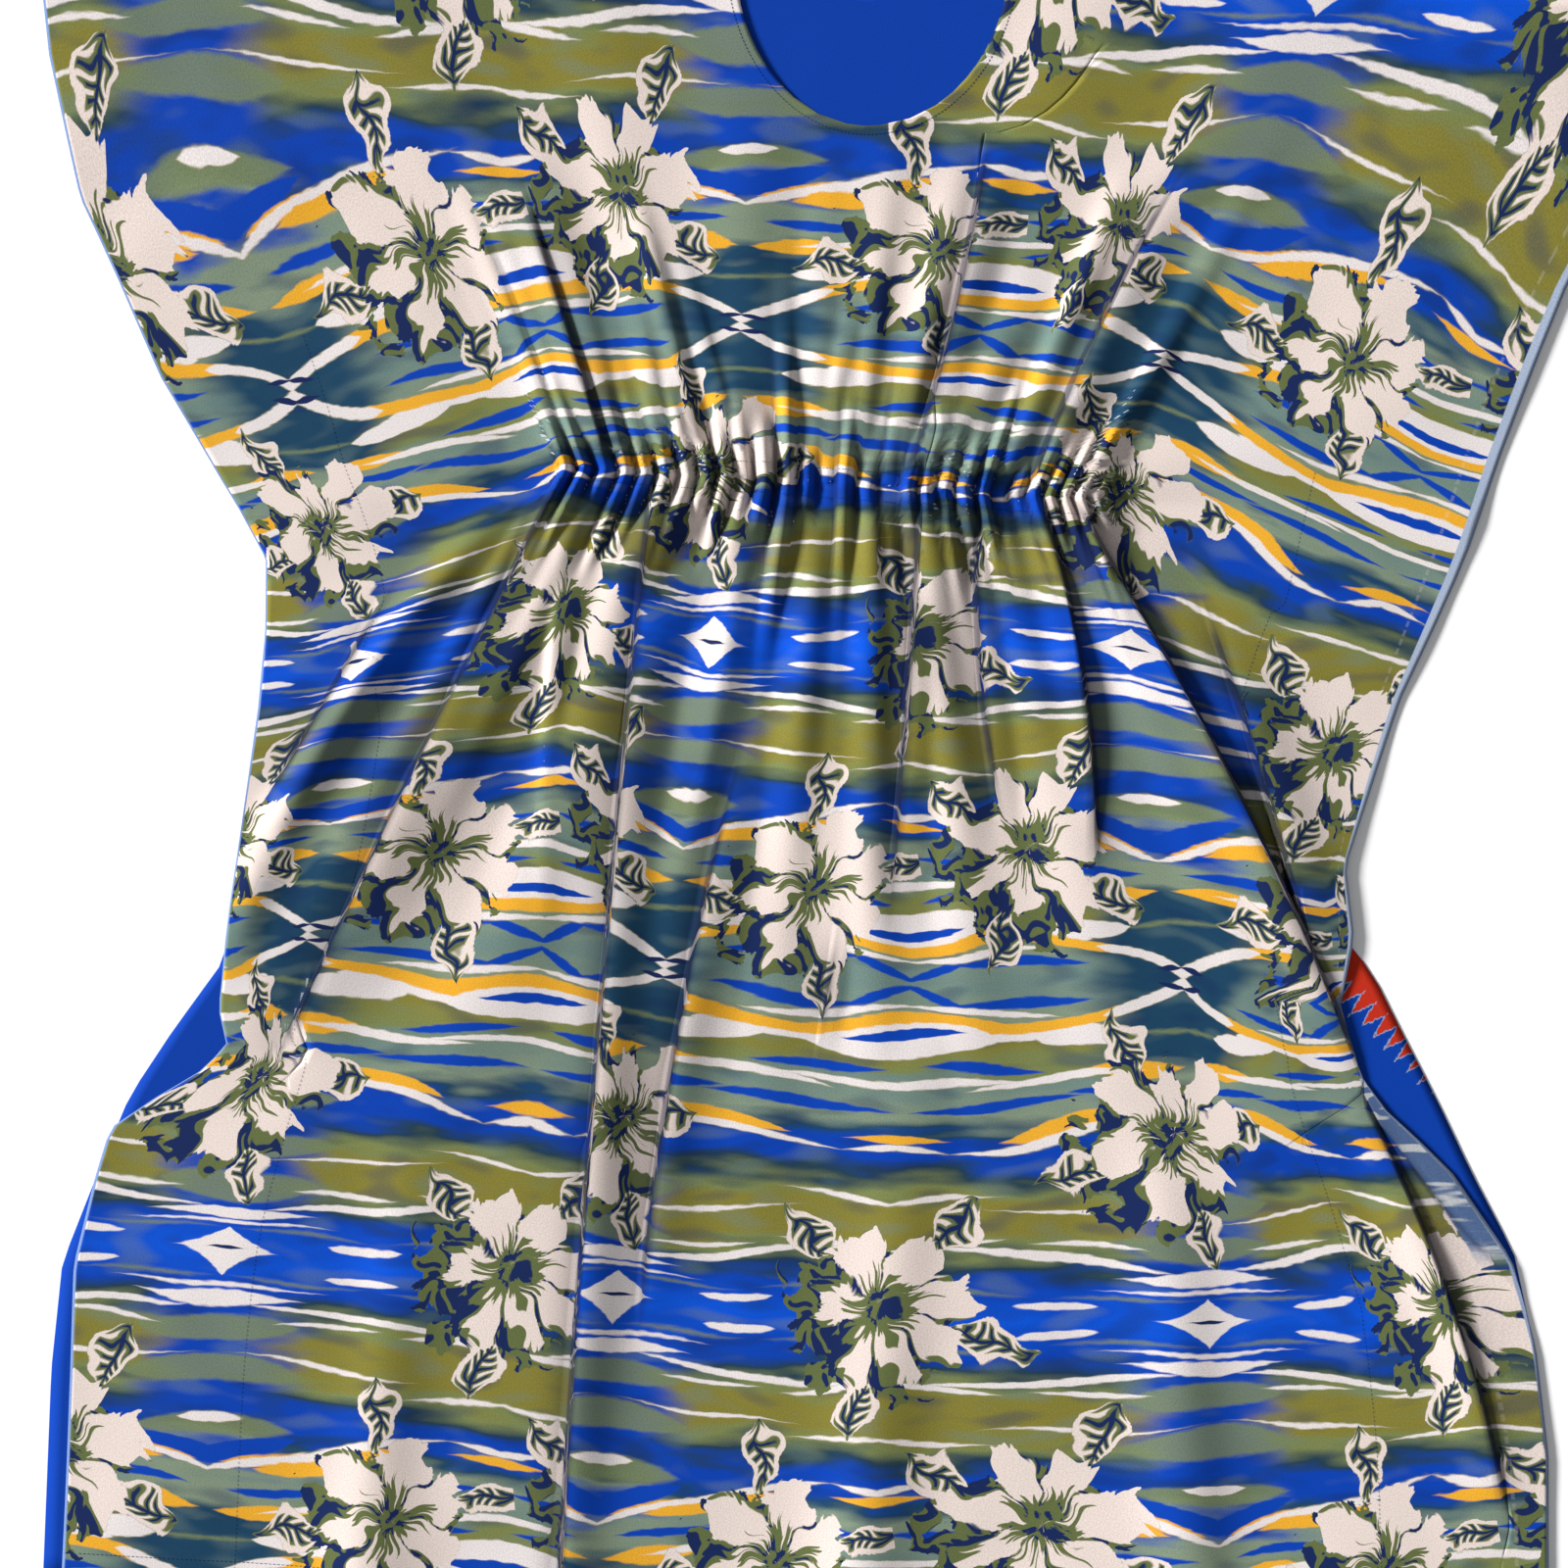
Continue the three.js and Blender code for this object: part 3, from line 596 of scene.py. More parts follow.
# %% Elastic
def ribbed_strip(name, z, rib, pitch, wall):
    """A closed sheet over the elastic's place: z plus rib * |sin| along x, a rib every pitch mm."""
    along = np.linspace(ELASTIC["left"], ELASTIC["right"], 446)
    grid_x, grid_y = np.meshgrid(along, np.linspace(ELASTIC["low"], ELASTIC["high"], 8))
    x, y = grid_x.ravel(), grid_y.ravel()
    quads = quads_of(np.arange(x.size).reshape(grid_x.shape)).reshape(-1, 4)
    points = to_row(x, y, z + rib * np.abs(np.sin(np.pi * x / pitch)))
    return shell(name, points, quads, np.stack([x, -y], -1) / MM, wall)


elastic = ribbed_strip("elastic_strip", 2.0, 0.2, 4.0, 0.7)
print("elastic:", ELASTIC["right"] - ELASTIC["left"], "mm long")

# %% [markdown]
# ## Stitches
# Every seam is a row of short thread loops that lie on the cloth: two rows hold the elastic, one
# down each side joins front and back, and one each holds the neck's and the hem's turned edge. A
# texture could show them, but thread stands off the cloth and catches the light. So a stitch is a
# small capsule, a little lifted at its middle, and all stitches of a row are one mesh.

# %% Stitches
def stitch_row(name, path, pitch, length, wide):
    """Stitches along a path of (x, y) mm: every pitch mm a loop of that length, on the front."""
    path = np.array(path, float)
    run = np.concatenate([[0.0], np.cumsum(np.hypot(*np.diff(path, axis=0).T))])
    at = np.arange(pitch, run[-1] - pitch, pitch)
    along = np.linspace(-0.5, 0.5, 5)
    places = at[:, None] + along * length
    x = np.interp(places, run, path[:, 0])
    y = np.interp(places, run, path[:, 1])
    z = front_height(x, y) + CLOTH / 2 + 0.10 + 0.30 * np.cos(np.pi * along)
    middle = np.stack([x, y, z], -1)
    way = np.gradient(middle, axis=1)
    way /= np.linalg.norm(way, axis=2, keepdims=True) + 1e-9
    side = np.cross(way, [0.0, 0.0, 1.0])
    side /= np.linalg.norm(side, axis=2, keepdims=True) + 1e-9
    up = 0.6 * np.cross(side, way)
    turn = (np.arange(6) * np.pi / 3.0)[:, None]
    thick = (wide / 2.0) * np.sqrt(np.clip(1.0 - (1.9 * along) ** 2, 0.05, 1.0))
    rings = middle[:, :, None] + thick[:, None, None] * (
        side[:, :, None] * np.cos(turn) + up[:, :, None] * np.sin(turn))
    points = to_row(rings[..., 0].ravel(), rings[..., 1].ravel(), rings[..., 2].ravel()) / MM
    numbers = np.arange(len(points)).reshape(rings.shape[:3])
    around = np.roll(numbers, -1, axis=2)
    quads = np.stack([numbers[:, :-1], around[:, :-1], around[:, 1:], numbers[:, 1:]], -1)
    caps = numbers[:, 0, ::-1].tolist() + numbers[:, -1].tolist()
    mesh = bpy.data.meshes.new(name)
    mesh.from_pydata(points, [], quads.reshape(-1, 4).tolist() + caps)
    mesh.polygons.foreach_set("use_smooth", np.ones(len(mesh.polygons), bool))
    mesh.update()
    print(name, len(at), "stitches")
    return add_piece(name, mesh)


def thread_line(value, top):
    """(x, y) from that height down to the hem along the thread value mm from the left selvedge."""
    found = []
    for y in np.arange(top, HEM + 6.0, -8.0):
        x = np.linspace(read(FRONT_EDGE, "left", y) + 2, read(FRONT_EDGE, "right", y) - 2, 1500)
        s, _ = cloth(x, np.full_like(x, y))
        found.append((float(np.interp(value, s, x)), float(y)))
    return found


SEAM_LEFT, SEAM_RIGHT = 140.0, 1205.0  # mm from the left selvedge
HEM_TURN, NECK_TURN = 22.0, 7.0
waist_x = np.linspace(ELASTIC["left"], ELASTIC["right"], 300)
hem_x = np.linspace(-588.0, 604.0, 400)
neck_turns = np.linspace(math.pi + 0.04, 2.0 * math.pi - 0.04, 120)
# name, path, pitch, length and width
stitches = [
    stitch_row("stitches_waist_top", [(x, -1.5 - 0.02 * x) for x in waist_x], 2.6, 2.0, 0.4),
    stitch_row("stitches_waist_foot", [(x, -25.0 - 0.01 * x) for x in waist_x], 2.6, 2.0, 0.4),
    stitch_row("stitches_side_left", thread_line(SEAM_LEFT, 86.0), 3.6, 2.2, 0.3),
    stitch_row("stitches_side_right", thread_line(SEAM_RIGHT, 22.0), 3.6, 2.2, 0.3),
    stitch_row("stitches_hem", [(x, HEM + HEM_TURN) for x in hem_x], 3.6, 2.6, 0.5),
    stitch_row("stitches_neck", [
        (NECK_X + (NECK_HALF + NECK_TURN) * math.cos(a),
         SHOULDER + (FRONT_NECK + NECK_TURN) * math.sin(a)) for a in neck_turns], 3.2, 2.4, 0.5),
]

# %% [markdown]
# ## Shader sums
# The print is drawn by sums on the cloth coordinates, so no image is needed and it stays sharp in
# every view. A Wire is one number inside a shader that can be added and multiplied as in Python:
# each sum puts down one Math node.

# %% Shader sums
def feed(slot, value):
    """Puts a Wire or a plain number into a shader input."""
    if isinstance(value, Wire):
        slot.id_data.links.new(value.socket, slot)
    else:
        slot.default_value = value


class Wire:
    """One number inside a shader."""

    def __init__(self, socket):
        self.socket = socket

    def math(self, kind, *others, first=None):
        """A Math node of that kind on this wire and the others, or on first and this wire."""
        node = self.socket.id_data.nodes.new("ShaderNodeMath")
        node.operation = kind
        values = (self,) + others if first is None else (first, self)
        for slot, value in zip(node.inputs, values):
            feed(slot, value)
        return Wire(node.outputs[0])

    def __add__(self, other):
        return self.math("ADD", other)

    def __sub__(self, other):
        return self.math("SUBTRACT", other)

    def __rsub__(self, other):
        return self.math("SUBTRACT", first=other)

    def __mul__(self, other):
        return self.math("MULTIPLY", other)

    def __truediv__(self, other):
        return self.math("DIVIDE", other)

    def __abs__(self):
        return self.math("ABSOLUTE")

    __radd__, __rmul__ = __add__, __mul__


def maximum(wires):
    """The largest of several wires."""
    total = wires[0]
    for wire in wires[1:]:
        total = total.math("MAXIMUM", wire)
    return total


def tree_of(*values):
    """The node tree of the first Wire among some values."""
    return next(v for v in values if isinstance(v, Wire)).socket.id_data


def step(wire, low, high):
    """0 where the wire is below low, 1 above high, and a smooth ramp between."""
    node = tree_of(wire).nodes.new("ShaderNodeMapRange")
    node.interpolation_type = "SMOOTHSTEP"
    for slot, value in zip(node.inputs, (wire, low, high, 0.0, 1.0)):
        feed(slot, value)
    return Wire(node.outputs[0])


def mix(part, below, above):
    """The colour below, with the colour above over it where part is 1."""
    node = tree_of(part, below, above).nodes.new("ShaderNodeMix")
    node.data_type = "RGBA"
    feed(node.inputs["Factor"], part)
    feed(node.inputs[6], below)
    feed(node.inputs[7], above)
    return Wire(node.outputs[2])


def lay(colour, *coats):
    """The colour under coats, each (depth, depth where it starts, where it is full, its colour)."""
    for depth, low, high, coat in coats:
        colour = mix(step(depth, low, high), colour, coat)
    return colour


def choose(part, below, above):
    """The number below, or the number above where part is 1."""
    return part * (above - below) + below


print("operations: + - * / abs, and any other Math node by its name")

# %% [markdown]
# ## Noise, colours and groups
# Painted edges are never even, so noise shifts them. Colours are written as they look on a screen
# and turned into the linear numbers that a shader wants. What is drawn more than once, such as a
# flower, is a node group with named inputs.

# %% Shader helpers
def vector(x, y):
    """Two numbers as one vector."""
    node = tree_of(x, y).nodes.new("ShaderNodeCombineXYZ")
    feed(node.inputs[0], x)
    feed(node.inputs[1], y)
    return Wire(node.outputs[0])


def halves(tree, socket):
    """The first two numbers of a vector socket."""
    node = tree.nodes.new("ShaderNodeSeparateXYZ")
    feed(node.inputs[0], Wire(socket))
    return Wire(node.outputs[0]), Wire(node.outputs[1])


def noise(x, y, shift=0.0, detail=1.0):
    """Soft noise about 0, from -0.5 to 0.5, over a plane. Another shift is another noise."""
    spot = vector(x + shift * 17.31, y - shift * 9.73)
    cloud = tree_of(spot).nodes.new("ShaderNodeTexNoise")
    cloud.noise_dimensions = "2D"
    feed(cloud.inputs["Vector"], spot)
    cloud.inputs["Scale"].default_value = 1.0
    cloud.inputs["Detail"].default_value = detail
    return Wire(cloud.outputs["Fac"]) - 0.5


def chance(wire):
    """A random number from 0 to 1 that changes with the whole number in the wire."""
    node = tree_of(wire).nodes.new("ShaderNodeTexWhiteNoise")
    node.noise_dimensions = "1D"
    feed(node.inputs["W"], wire)
    return Wire(node.outputs["Value"])


def dye(red, green, blue):
    """A screen colour, 0 to 255, as the shader's own linear colour."""
    parts = np.array([red, green, blue]) / 255.0
    linear = np.where(parts < 0.04045, parts / 12.92, ((parts + 0.055) / 1.055) ** 2.4)
    return tuple(float(v) for v in linear) + (1.0,)


def ramp(wire, stops):
    """A colour ramp through (place, colour) pairs, straight between them."""
    node = tree_of(wire).nodes.new("ShaderNodeValToRGB")
    feed(node.inputs[0], wire)
    knots = node.color_ramp.elements
    while len(knots) < len(stops):
        knots.new(0.5)
    for knot, (spot, colour) in zip(knots, sorted(stops)):
        knot.position, knot.color = spot, colour
    return Wire(node.outputs["Color"])


def new_group(name, takes, gives):
    """(tree, {name: Wire}) of a new node group with these number inputs and outputs."""
    tree = bpy.data.node_groups.new(name, "ShaderNodeTree")
    for label in takes:
        tree.interface.new_socket(label, in_out="INPUT", socket_type="NodeSocketFloat")
    for label, kind in gives.items():
        tree.interface.new_socket(label, in_out="OUTPUT", socket_type="NodeSocket" + kind)
    start = tree.nodes.new("NodeGroupInput")
    tree.nodes.new("NodeGroupOutput")
    return tree, {label: Wire(start.outputs[label]) for label in takes}


def give(tree, **wires):
    """Joins wires to the outputs of a group."""
    end = next(n for n in tree.nodes if n.bl_idname == "NodeGroupOutput")
    for label, wire in wires.items():
        feed(end.inputs[label], wire)


def place(tree, group, **values):
    """A group put into a tree with its inputs fed. Returns {name: Wire} of what it puts out."""
    node = tree.nodes.new("ShaderNodeGroup")
    node.node_tree = group
    for label, value in values.items():
        feed(node.inputs[label], value)
    return {socket.name: Wire(socket) for socket in node.outputs}

print("a mid grey dye is", round(dye(128, 128, 128)[0], 3), "in the shader")

# %% [markdown]
# ## Motifs
# Three small groups draw most of the print. A mark is a lens that may slope. A leaf is a white
# lens with feathered veins. A blossom is seven wide petals, each of a chance length, over ragged
# green and navy tufts that stand out to one side, round a dark heart. Each shape is a depth in mm:
# above 0 inside it, 0 at its edge and below 0 outside. Such depths can be added to and compared,
# and a step on them draws the edge as sharp or as soft as the dye is.
# %% Motifs
ROYAL, ROYAL_LIGHT = dye(0, 62, 172), dye(0, 78, 204)
OLIVE, GOLD = dye(118, 128, 76), dye(128, 122, 50)
SAGE, TEAL = dye(126, 142, 120), dye(24, 64, 92)
GREY_TEAL, MARIGOLD = dye(106, 130, 124), dye(230, 168, 44)
WHITE, CREAM, SHADE = dye(226, 218, 217), dye(226, 211, 204), dye(30, 58, 74)
MOTIF_NAVY, MOTIF_OLIVE = dye(18, 36, 84), dye(96, 106, 62)

MARK_COLUMNS = ("Middle", "Row", "Reach", "Half", "Blunt", "Slope")
mark_group, w = new_group("mark", ("Along", "Off") + MARK_COLUMNS, {"Depth": "Float"})
far = w["Along"] - w["Middle"]
share = far * far / (w["Reach"] * w["Reach"])
body = w["Half"] * ((1.0 - share) * (share.math("MINIMUM", 1.0) * w["Blunt"] + 1.0))
give(mark_group, Depth=body - abs(w["Off"] - w["Row"] - w["Slope"] * far))

leaf_group, w = new_group("leaf", ("Run", "Side", "Long", "Half", "Rough"),
                          {"Leaf": "Float", "Vein": "Float"})
run, side = w["Run"], w["Side"]
share = run / w["Long"]
taper = (1.0 - share * share).math("MAXIMUM", -0.9)
taper = taper * (taper * 0.35 + 0.65)
barb = ((run + abs(side) * 0.9) / 10.0).math("FRACT")
barb = 1.3 - abs(barb - 0.5) * 7.0
arm = w["Half"] * 0.6 * taper - abs(side)
spine = taper * 2.0 - abs(side)
give(leaf_group, Leaf=w["Half"] * taper + w["Rough"] * 0.14 - abs(side),
     Vein=spine.math("MAXIMUM", barb.math("MINIMUM", arm)))

blossom_group, w = new_group("blossom", ("Across", "Down", "Turn", "Seed"),
                             {"Color": "Color", "Mask": "Float"})
seed = w["Seed"]
bend_x = noise(w["Across"] / 21.0, w["Down"] / 21.0, seed + 3.0, 0.0)
bend_y = noise(w["Across"] / 21.0, w["Down"] / 21.0, seed + 8.0, 0.0)
across, down = w["Across"] + bend_x * 17.0, w["Down"] + bend_y * 17.0
radius = (across * across + down * down).math("SQRT")
angle = down.math("ARCTAN2", across) / (2.0 * math.pi) + w["Turn"]
lean = (angle * (2.0 * math.pi) + seed).math("SINE")
rough = noise(across / 3.6, down / 3.6, seed, 1.0) * 17.0
feather = noise(angle * 44.0, radius / 30.0, seed + 11.0, 1.0) * 24.0
# Seven petals of chance lengths, each tapered to the heart and parted from the next by a notch.
sector = (angle + lean * 0.035).math("FRACT") * 7.0
part = sector.math("FRACT") - 0.5
luck = chance(sector.math("FLOOR") + seed * 13.0)
reach = luck * 22.0 + 52.0
petal = reach * (1.0 - part * part) + feather + rough * 0.2 - radius
border = (0.5 - abs(part)) * 0.88 * radius
notch = step(radius, 26.0, 66.0) * (luck * 4.0 + 1.2) + 0.35 + rough * 0.14
petal = petal.math("MINIMUM", border - notch)
# Painted shadows: one edge of each petal curls over, and streaks run out of the heart.
curl = part * (luck * 60.0 + 20.0) + (radius - reach) * 0.5 + feather * 0.9
curl = curl + (down - across) * 0.17
streak = feather * 1.3 + 15.5 - radius * 0.66
# Ragged tufts stand out behind the petals, and four leaves beyond them.
tuft = noise(across / 15.0, down / 15.0, seed + 20.0, 0.0) * 40.0 + 56.0
tuft = tuft + (down - across) * 0.2 + rough * 0.7 + feather * 0.7 - radius
blot = noise(across / 8.0, down / 8.0, seed + 40.0, 0.0) * 34.0 + feather * 0.4
leaf_turn = (angle + seed * 0.37).math("FRACT") * 4.0
leaf_luck = chance(leaf_turn.math("FLOOR") + seed * 7.0 + 0.5)
leaf_angle = (leaf_turn.math("FRACT") - 0.5 + (leaf_luck - 0.5) * 0.35) * (math.pi / 2.0)
leaf = place(blossom_group, leaf_group, Run=radius * leaf_angle.math("COSINE") - 76.0,
             Side=radius * leaf_angle.math("SINE"), Long=leaf_luck * 8.0 + 24.0, Half=16.0,
             Rough=rough)
leaf_depth, vein = leaf["Leaf"], leaf["Vein"]
heart = 14.0 + rough * 0.6 + feather * 0.4 - radius
petal_colour = lay(CREAM, (curl, 5.0, 6.5, MOTIF_OLIVE), (curl, 11.0, 12.5, MOTIF_NAVY),
                   (streak, 0.0, 1.6, MOTIF_OLIVE))
heart_colour = lay(MOTIF_OLIVE, (blot, -0.5, 1.5, MOTIF_NAVY),
                   (heart * 0.4 - feather, 8.5, 9.5, CREAM))
colour = lay(MOTIF_OLIVE, (blot, 0.5, 2.5, MOTIF_NAVY), (leaf_depth, 0.0, 1.2, CREAM),
             (vein, -1.5, -0.5, MOTIF_OLIVE), (vein, 0.0, 0.8, MOTIF_NAVY),
             (petal, 0.0, 1.0, petal_colour), (heart, 0.0, 1.4, heart_colour))
tuft = tuft.math("MINIMUM", 84.0 - radius)
give(blossom_group, Color=colour, Mask=step(maximum([petal, tuft, leaf_depth]), 0.0, 1.0))
print("motif groups:", [g.name for g in bpy.data.node_groups])

# %% [markdown]
# ## Print
# The pattern repeats every 472 mm across and 556 mm down, and each repeat is mirrored about its
# middle, so a quarter of it is enough. The ground runs in bands from blue to olive and grey-green,
# with white and marigold streaks over it, and four blossoms a repeat over those. The places were
# read off the photograph's print, and the shapes are this script's own.

# %% Print
REPEAT_ACROSS, REPEAT_DOWN, AXIS, ROW = 472.0, 556.0, 115.0, 139.0
HALF_ACROSS, HALF_DOWN = REPEAT_ACROSS / 2.0, REPEAT_DOWN / 2.0
DEEP_BLUE, MOSS = dye(12, 40, 88), dye(114, 128, 90)
# (mm off the row, the ground's colour there), on the axis and half a repeat beside it
GROUND_AXIS = [
    (0, ROYAL_LIGHT), (40, ROYAL), (120, ROYAL), (136, SHADE), (146, SAGE), (158, ROYAL),
    (168, ROYAL), (180, SAGE), (200, SAGE), (214, TEAL), (276, TEAL)]
GROUND_HALF = [
    (0, ROYAL_LIGHT), (28, ROYAL), (42, SHADE), (56, OLIVE), (68, GOLD), (90, GOLD), (102, OLIVE),
    (116, SHADE), (128, ROYAL), (146, ROYAL), (156, TEAL), (168, SAGE), (196, GREY_TEAL),
    (206, OLIVE), (232, GOLD), (248, SAGE), (276, GREY_TEAL)]
# A row holds a mark's columns in their order, in mm. Blunt and Slope may be left out where 0.
WHITE_MARKS = [
    (0, 26, 74, 1.6), (0, 35, 64, 5.5, -0.5),
    (112, 13, 30, 3.2, 1, 0.03), (118, 49, 92, 3.2, 0, 0.10), (196, 60, 44, 2.4, 0, -0.05),
    (88, 57, 40, 2.0, 0, 0.02), (226, 137, 28, 3.2, -0.6, 0.12),
    (115, 149, 76, 3.4, 0, -0.2), (34, 168, 42, 3.0, 0, -0.34), (112, 198, 70, 3.6, 0, -0.1),
    (236, 197, 96, 3.2, 0.4), (84, 231, 46, 8.5, 0.8), (236, 230, 78, 13, 0.7),
    (6, 133, 20, 4.4), (92, 86, 60, 1.8, -0.5, 0.06), (205, 98, 44, 2.0, -0.5, -0.08),
    (176, 254, 66, 3.0, 0, 0.05)]
GOLD_MARKS = [
    (236, 146, 36, 4.2, -0.5), (96, 160, 58, 6.6, 0, -0.2), (50, 163, 38, 4.2, 0, -0.24),
    (48, 205, 40, 6.4, -0.3, -0.05), (226, 247, 76, 5.0, 0, 0.05)]
BLUE_MARKS = [
    (22, 160, 48, 7.5, 0.4, -0.3),
    (212, 265, 32, 4.6, 0, 0.4), (140, 262, 60, 4.6, 0, -0.04), (236, 233, 40, 5.2, 0.3),
    (160, 177, 70, 4.4, 0, -0.06), (60, 187, 44, 4.0, 0, -0.08), (172, 207, 50, 4.4, 0, 0.05)]
OVER_MARKS = [(230, 235, 44, 4.0, 0, 0.02)]
NAVY_MARKS = [(0, 0, 17, 1.7, -0.6), (10, 271, 13, 2.4, -0.4, 0.1)]
SAGE_MARKS = [
    (0, 57, 66, 12, 0.6, 0.06), (0, 94, 74, 12, 0.6, 0.05), (0, 138, 66, 10, 0.4, 0.04),
    (15, 232, 30, 2.4), (60, 20, 46, 1.8), (190, 24, 50, 2.0, 0, 0.04)]
# (across from the axis, down from the waist, turn, seed)
BLOSSOMS = [(-20, -10, 0.05, 1.0), (236, 128, 0.55, 2.0), (151, -217, 0.3, 3.0),
            (351, -250, 0.8, 4.0)]
BLOSSOM_SCALE = 1.1


def marks(tree, along, off, table):
    """The deepest of a table of marks."""
    found = []
    for row in table:
        values = dict(zip(MARK_COLUMNS, map(float, row)))
        found.append(place(tree, mark_group, Along=along, Off=off, **values)["Depth"])
    return maximum(found)


print_group, w = new_group("print", ("Across", "Down"), {"Color": "Color"})
tree = print_group
s, t = w["Across"], w["Down"]
wave = noise(s / 105.0, t / 60.0, 0.0, 0.0)
fray = noise(s / 10.0, t / 3.0, 5.0, 0.0)
cloud = noise(s / 74.0, t / 15.0, 9.0, 1.0)
along = (s - AXIS).math("PINGPONG", HALF_ACROSS)
off = (t - ROW + wave * 17.0 + fray * 1.5).math("PINGPONG", HALF_DOWN)
ground_off = (off + cloud * 30.0) / HALF_DOWN
at_axis = ramp(ground_off, [(p / HALF_DOWN, c) for p, c in GROUND_AXIS])
at_half = ramp(ground_off, [(p / HALF_DOWN, c) for p, c in GROUND_HALF])
side = along + cloud * 56.0 - step(off, 150.0, 190.0) * 22.0
tint = noise(s / 48.0, t / 17.0, 15.0, 0.0)
# Two arms swing in to cross on the axis at the far row, and a hollow-sided diamond lies on the
# near one.
arms = off - (274.0 - (1.0 - (along / -64.0).math("EXPONENT")) * 38.0)
arm_depth = 4.6 - abs(arms)
point = (1.0 - along / 48.0).math("MAXIMUM", 0.0)
gold = maximum([marks(tree, along, off, GOLD_MARKS),
                arm_depth - step(along, 62.0, 40.0) * 9.0])
white = maximum([marks(tree, along, off, WHITE_MARKS),
                 arm_depth - step(along, 58.0, 86.0) * 9.0,
                 3.0 - abs(arms + 7.6) - step(along, 84.0, 60.0) * 9.0,
                 point * point * 21.0 - off - 0.8])
colour = lay(at_axis, (side, 22.0, 76.0, at_half))
colour = mix(step(tint, 0.06, 0.35) * 0.3, colour, GREY_TEAL)
colour = mix(step(tint, -0.06, -0.35) * 0.4, colour, DEEP_BLUE)
sage = marks(tree, along, off, SAGE_MARKS)
colour = mix(step(sage, -1.6, 2.4) * 0.85, colour, MOSS)
colour = lay(colour, (marks(tree, along, off, BLUE_MARKS), -1.0, 1.0, ROYAL))
colour = mix(step(white, -1.6, -0.2) * step(off, 50.0, 90.0) * 0.5, colour, GOLD)
colour = lay(colour, (gold, -1.2, 0.6, MARIGOLD), (white, -0.9, 0.8, WHITE),
             (marks(tree, along, off, OVER_MARKS), -0.4, 0.6, ROYAL),
             (marks(tree, along, off, NAVY_MARKS), -0.3, 0.5, MOTIF_NAVY))
# Only the nearest blossom can show at a point, so one blossom group draws all four.
near = None
for across_0, down_0, *own in BLOSSOMS:
    flower_x = (s - AXIS - float(across_0)).math("WRAP", HALF_ACROSS, -HALF_ACROSS)
    flower_y = (t - float(down_0)).math("WRAP", HALF_DOWN, -HALF_DOWN)
    this = [flower_x, flower_y, flower_x * flower_x + flower_y * flower_y] + own
    if near:
        closer = this[2].math("LESS_THAN", near[2])
        this = [choose(closer, before, new) for before, new in zip(near, this)]
    near = this
flower = place(tree, blossom_group, Across=near[0] / BLOSSOM_SCALE,
               Down=near[1] / BLOSSOM_SCALE, Turn=near[3], Seed=near[4])
give(print_group, Color=mix(flower["Mask"], colour, flower["Color"]))
print("print:", len(WHITE_MARKS) + len(GOLD_MARKS) + len(BLUE_MARKS), "marks,", len(BLOSSOMS),
      "blossoms a repeat")

# %% [markdown]
# ## Cloth materials
# The right side of the front carries the print and a pale woven selvedge. Its wrong side is the same
# print, washed out. Both have a fine weave that breaks the light, as matt cotton does: modelled
# threads would be far too many, so it is bump. Deep in a fold hardly any light gets in, so the
# fold shade attribute paints shade into the colour along those lines.

# %% Cloth materials
weave_group, w = new_group("weave", ("Across", "Down", "Pitch"),
                           {"Height": "Float", "Fleck": "Float"})
warp, weft = w["Across"] / w["Pitch"], w["Down"] / w["Pitch"]
threads = (warp * (2.0 * math.pi)).math("SINE") * (weft * (2.0 * math.pi)).math("SINE")
slub = noise(warp / 1.3, weft / 1.3, 2.0, 1.0)
give(weave_group, Height=threads * 0.12 + slub * 0.8, Fleck=slub)

BACK_BLUE, BACK_RED, BACK_RIM = dye(0, 58, 162), dye(190, 44, 20), dye(130, 150, 185)


def new_material(name, roughness, shine=0.1):
    """(material, its tree, its shader) of a new plain material."""
    material = bpy.data.materials.new(name)
    material.use_nodes = True
    tree = material.node_tree
    shader = next(n for n in tree.nodes if n.bl_idname == "ShaderNodeBsdfPrincipled")
    shader.inputs["Roughness"].default_value = roughness
    shader.inputs["Specular IOR Level"].default_value = shine
    return material, tree, shader


def cloth_material(name, draw, pitch, roughness):
    """A matt cloth: draw(tree, s, t) gives its colour from the cloth coordinates in mm."""
    material, tree, shader = new_material(name, roughness)
    places = tree.nodes.new("ShaderNodeUVMap")
    places.uv_map = "cloth"
    s, t = [wire * MM for wire in halves(tree, places.outputs["UV"])]
    woven = place(tree, weave_group, Across=s, Down=t, Pitch=pitch)
    reader = tree.nodes.new("ShaderNodeAttribute")
    reader.attribute_name = "fold_shade"
    fold_shade = Wire(reader.outputs["Fac"])
    flecks = step(woven["Fleck"], 0.3, -0.3) * 0.22
    colour = mix(flecks, draw(tree, s, t), dye(24, 30, 44))
    # Painted shade: the fold shade value darkens the colour towards deep blue in folds and gather
    # valleys.
    feed(shader.inputs["Base Color"], mix(fold_shade, colour, dye(8, 14, 40)))
    bump = tree.nodes.new("ShaderNodeBump")
    bump.inputs["Strength"].default_value = 0.35
    bump.inputs["Distance"].default_value = 0.0003
    feed(bump.inputs["Height"], woven["Height"] * (1.0 - fold_shade))
    feed(shader.inputs["Normal"], Wire(bump.outputs["Normal"]))
    return material


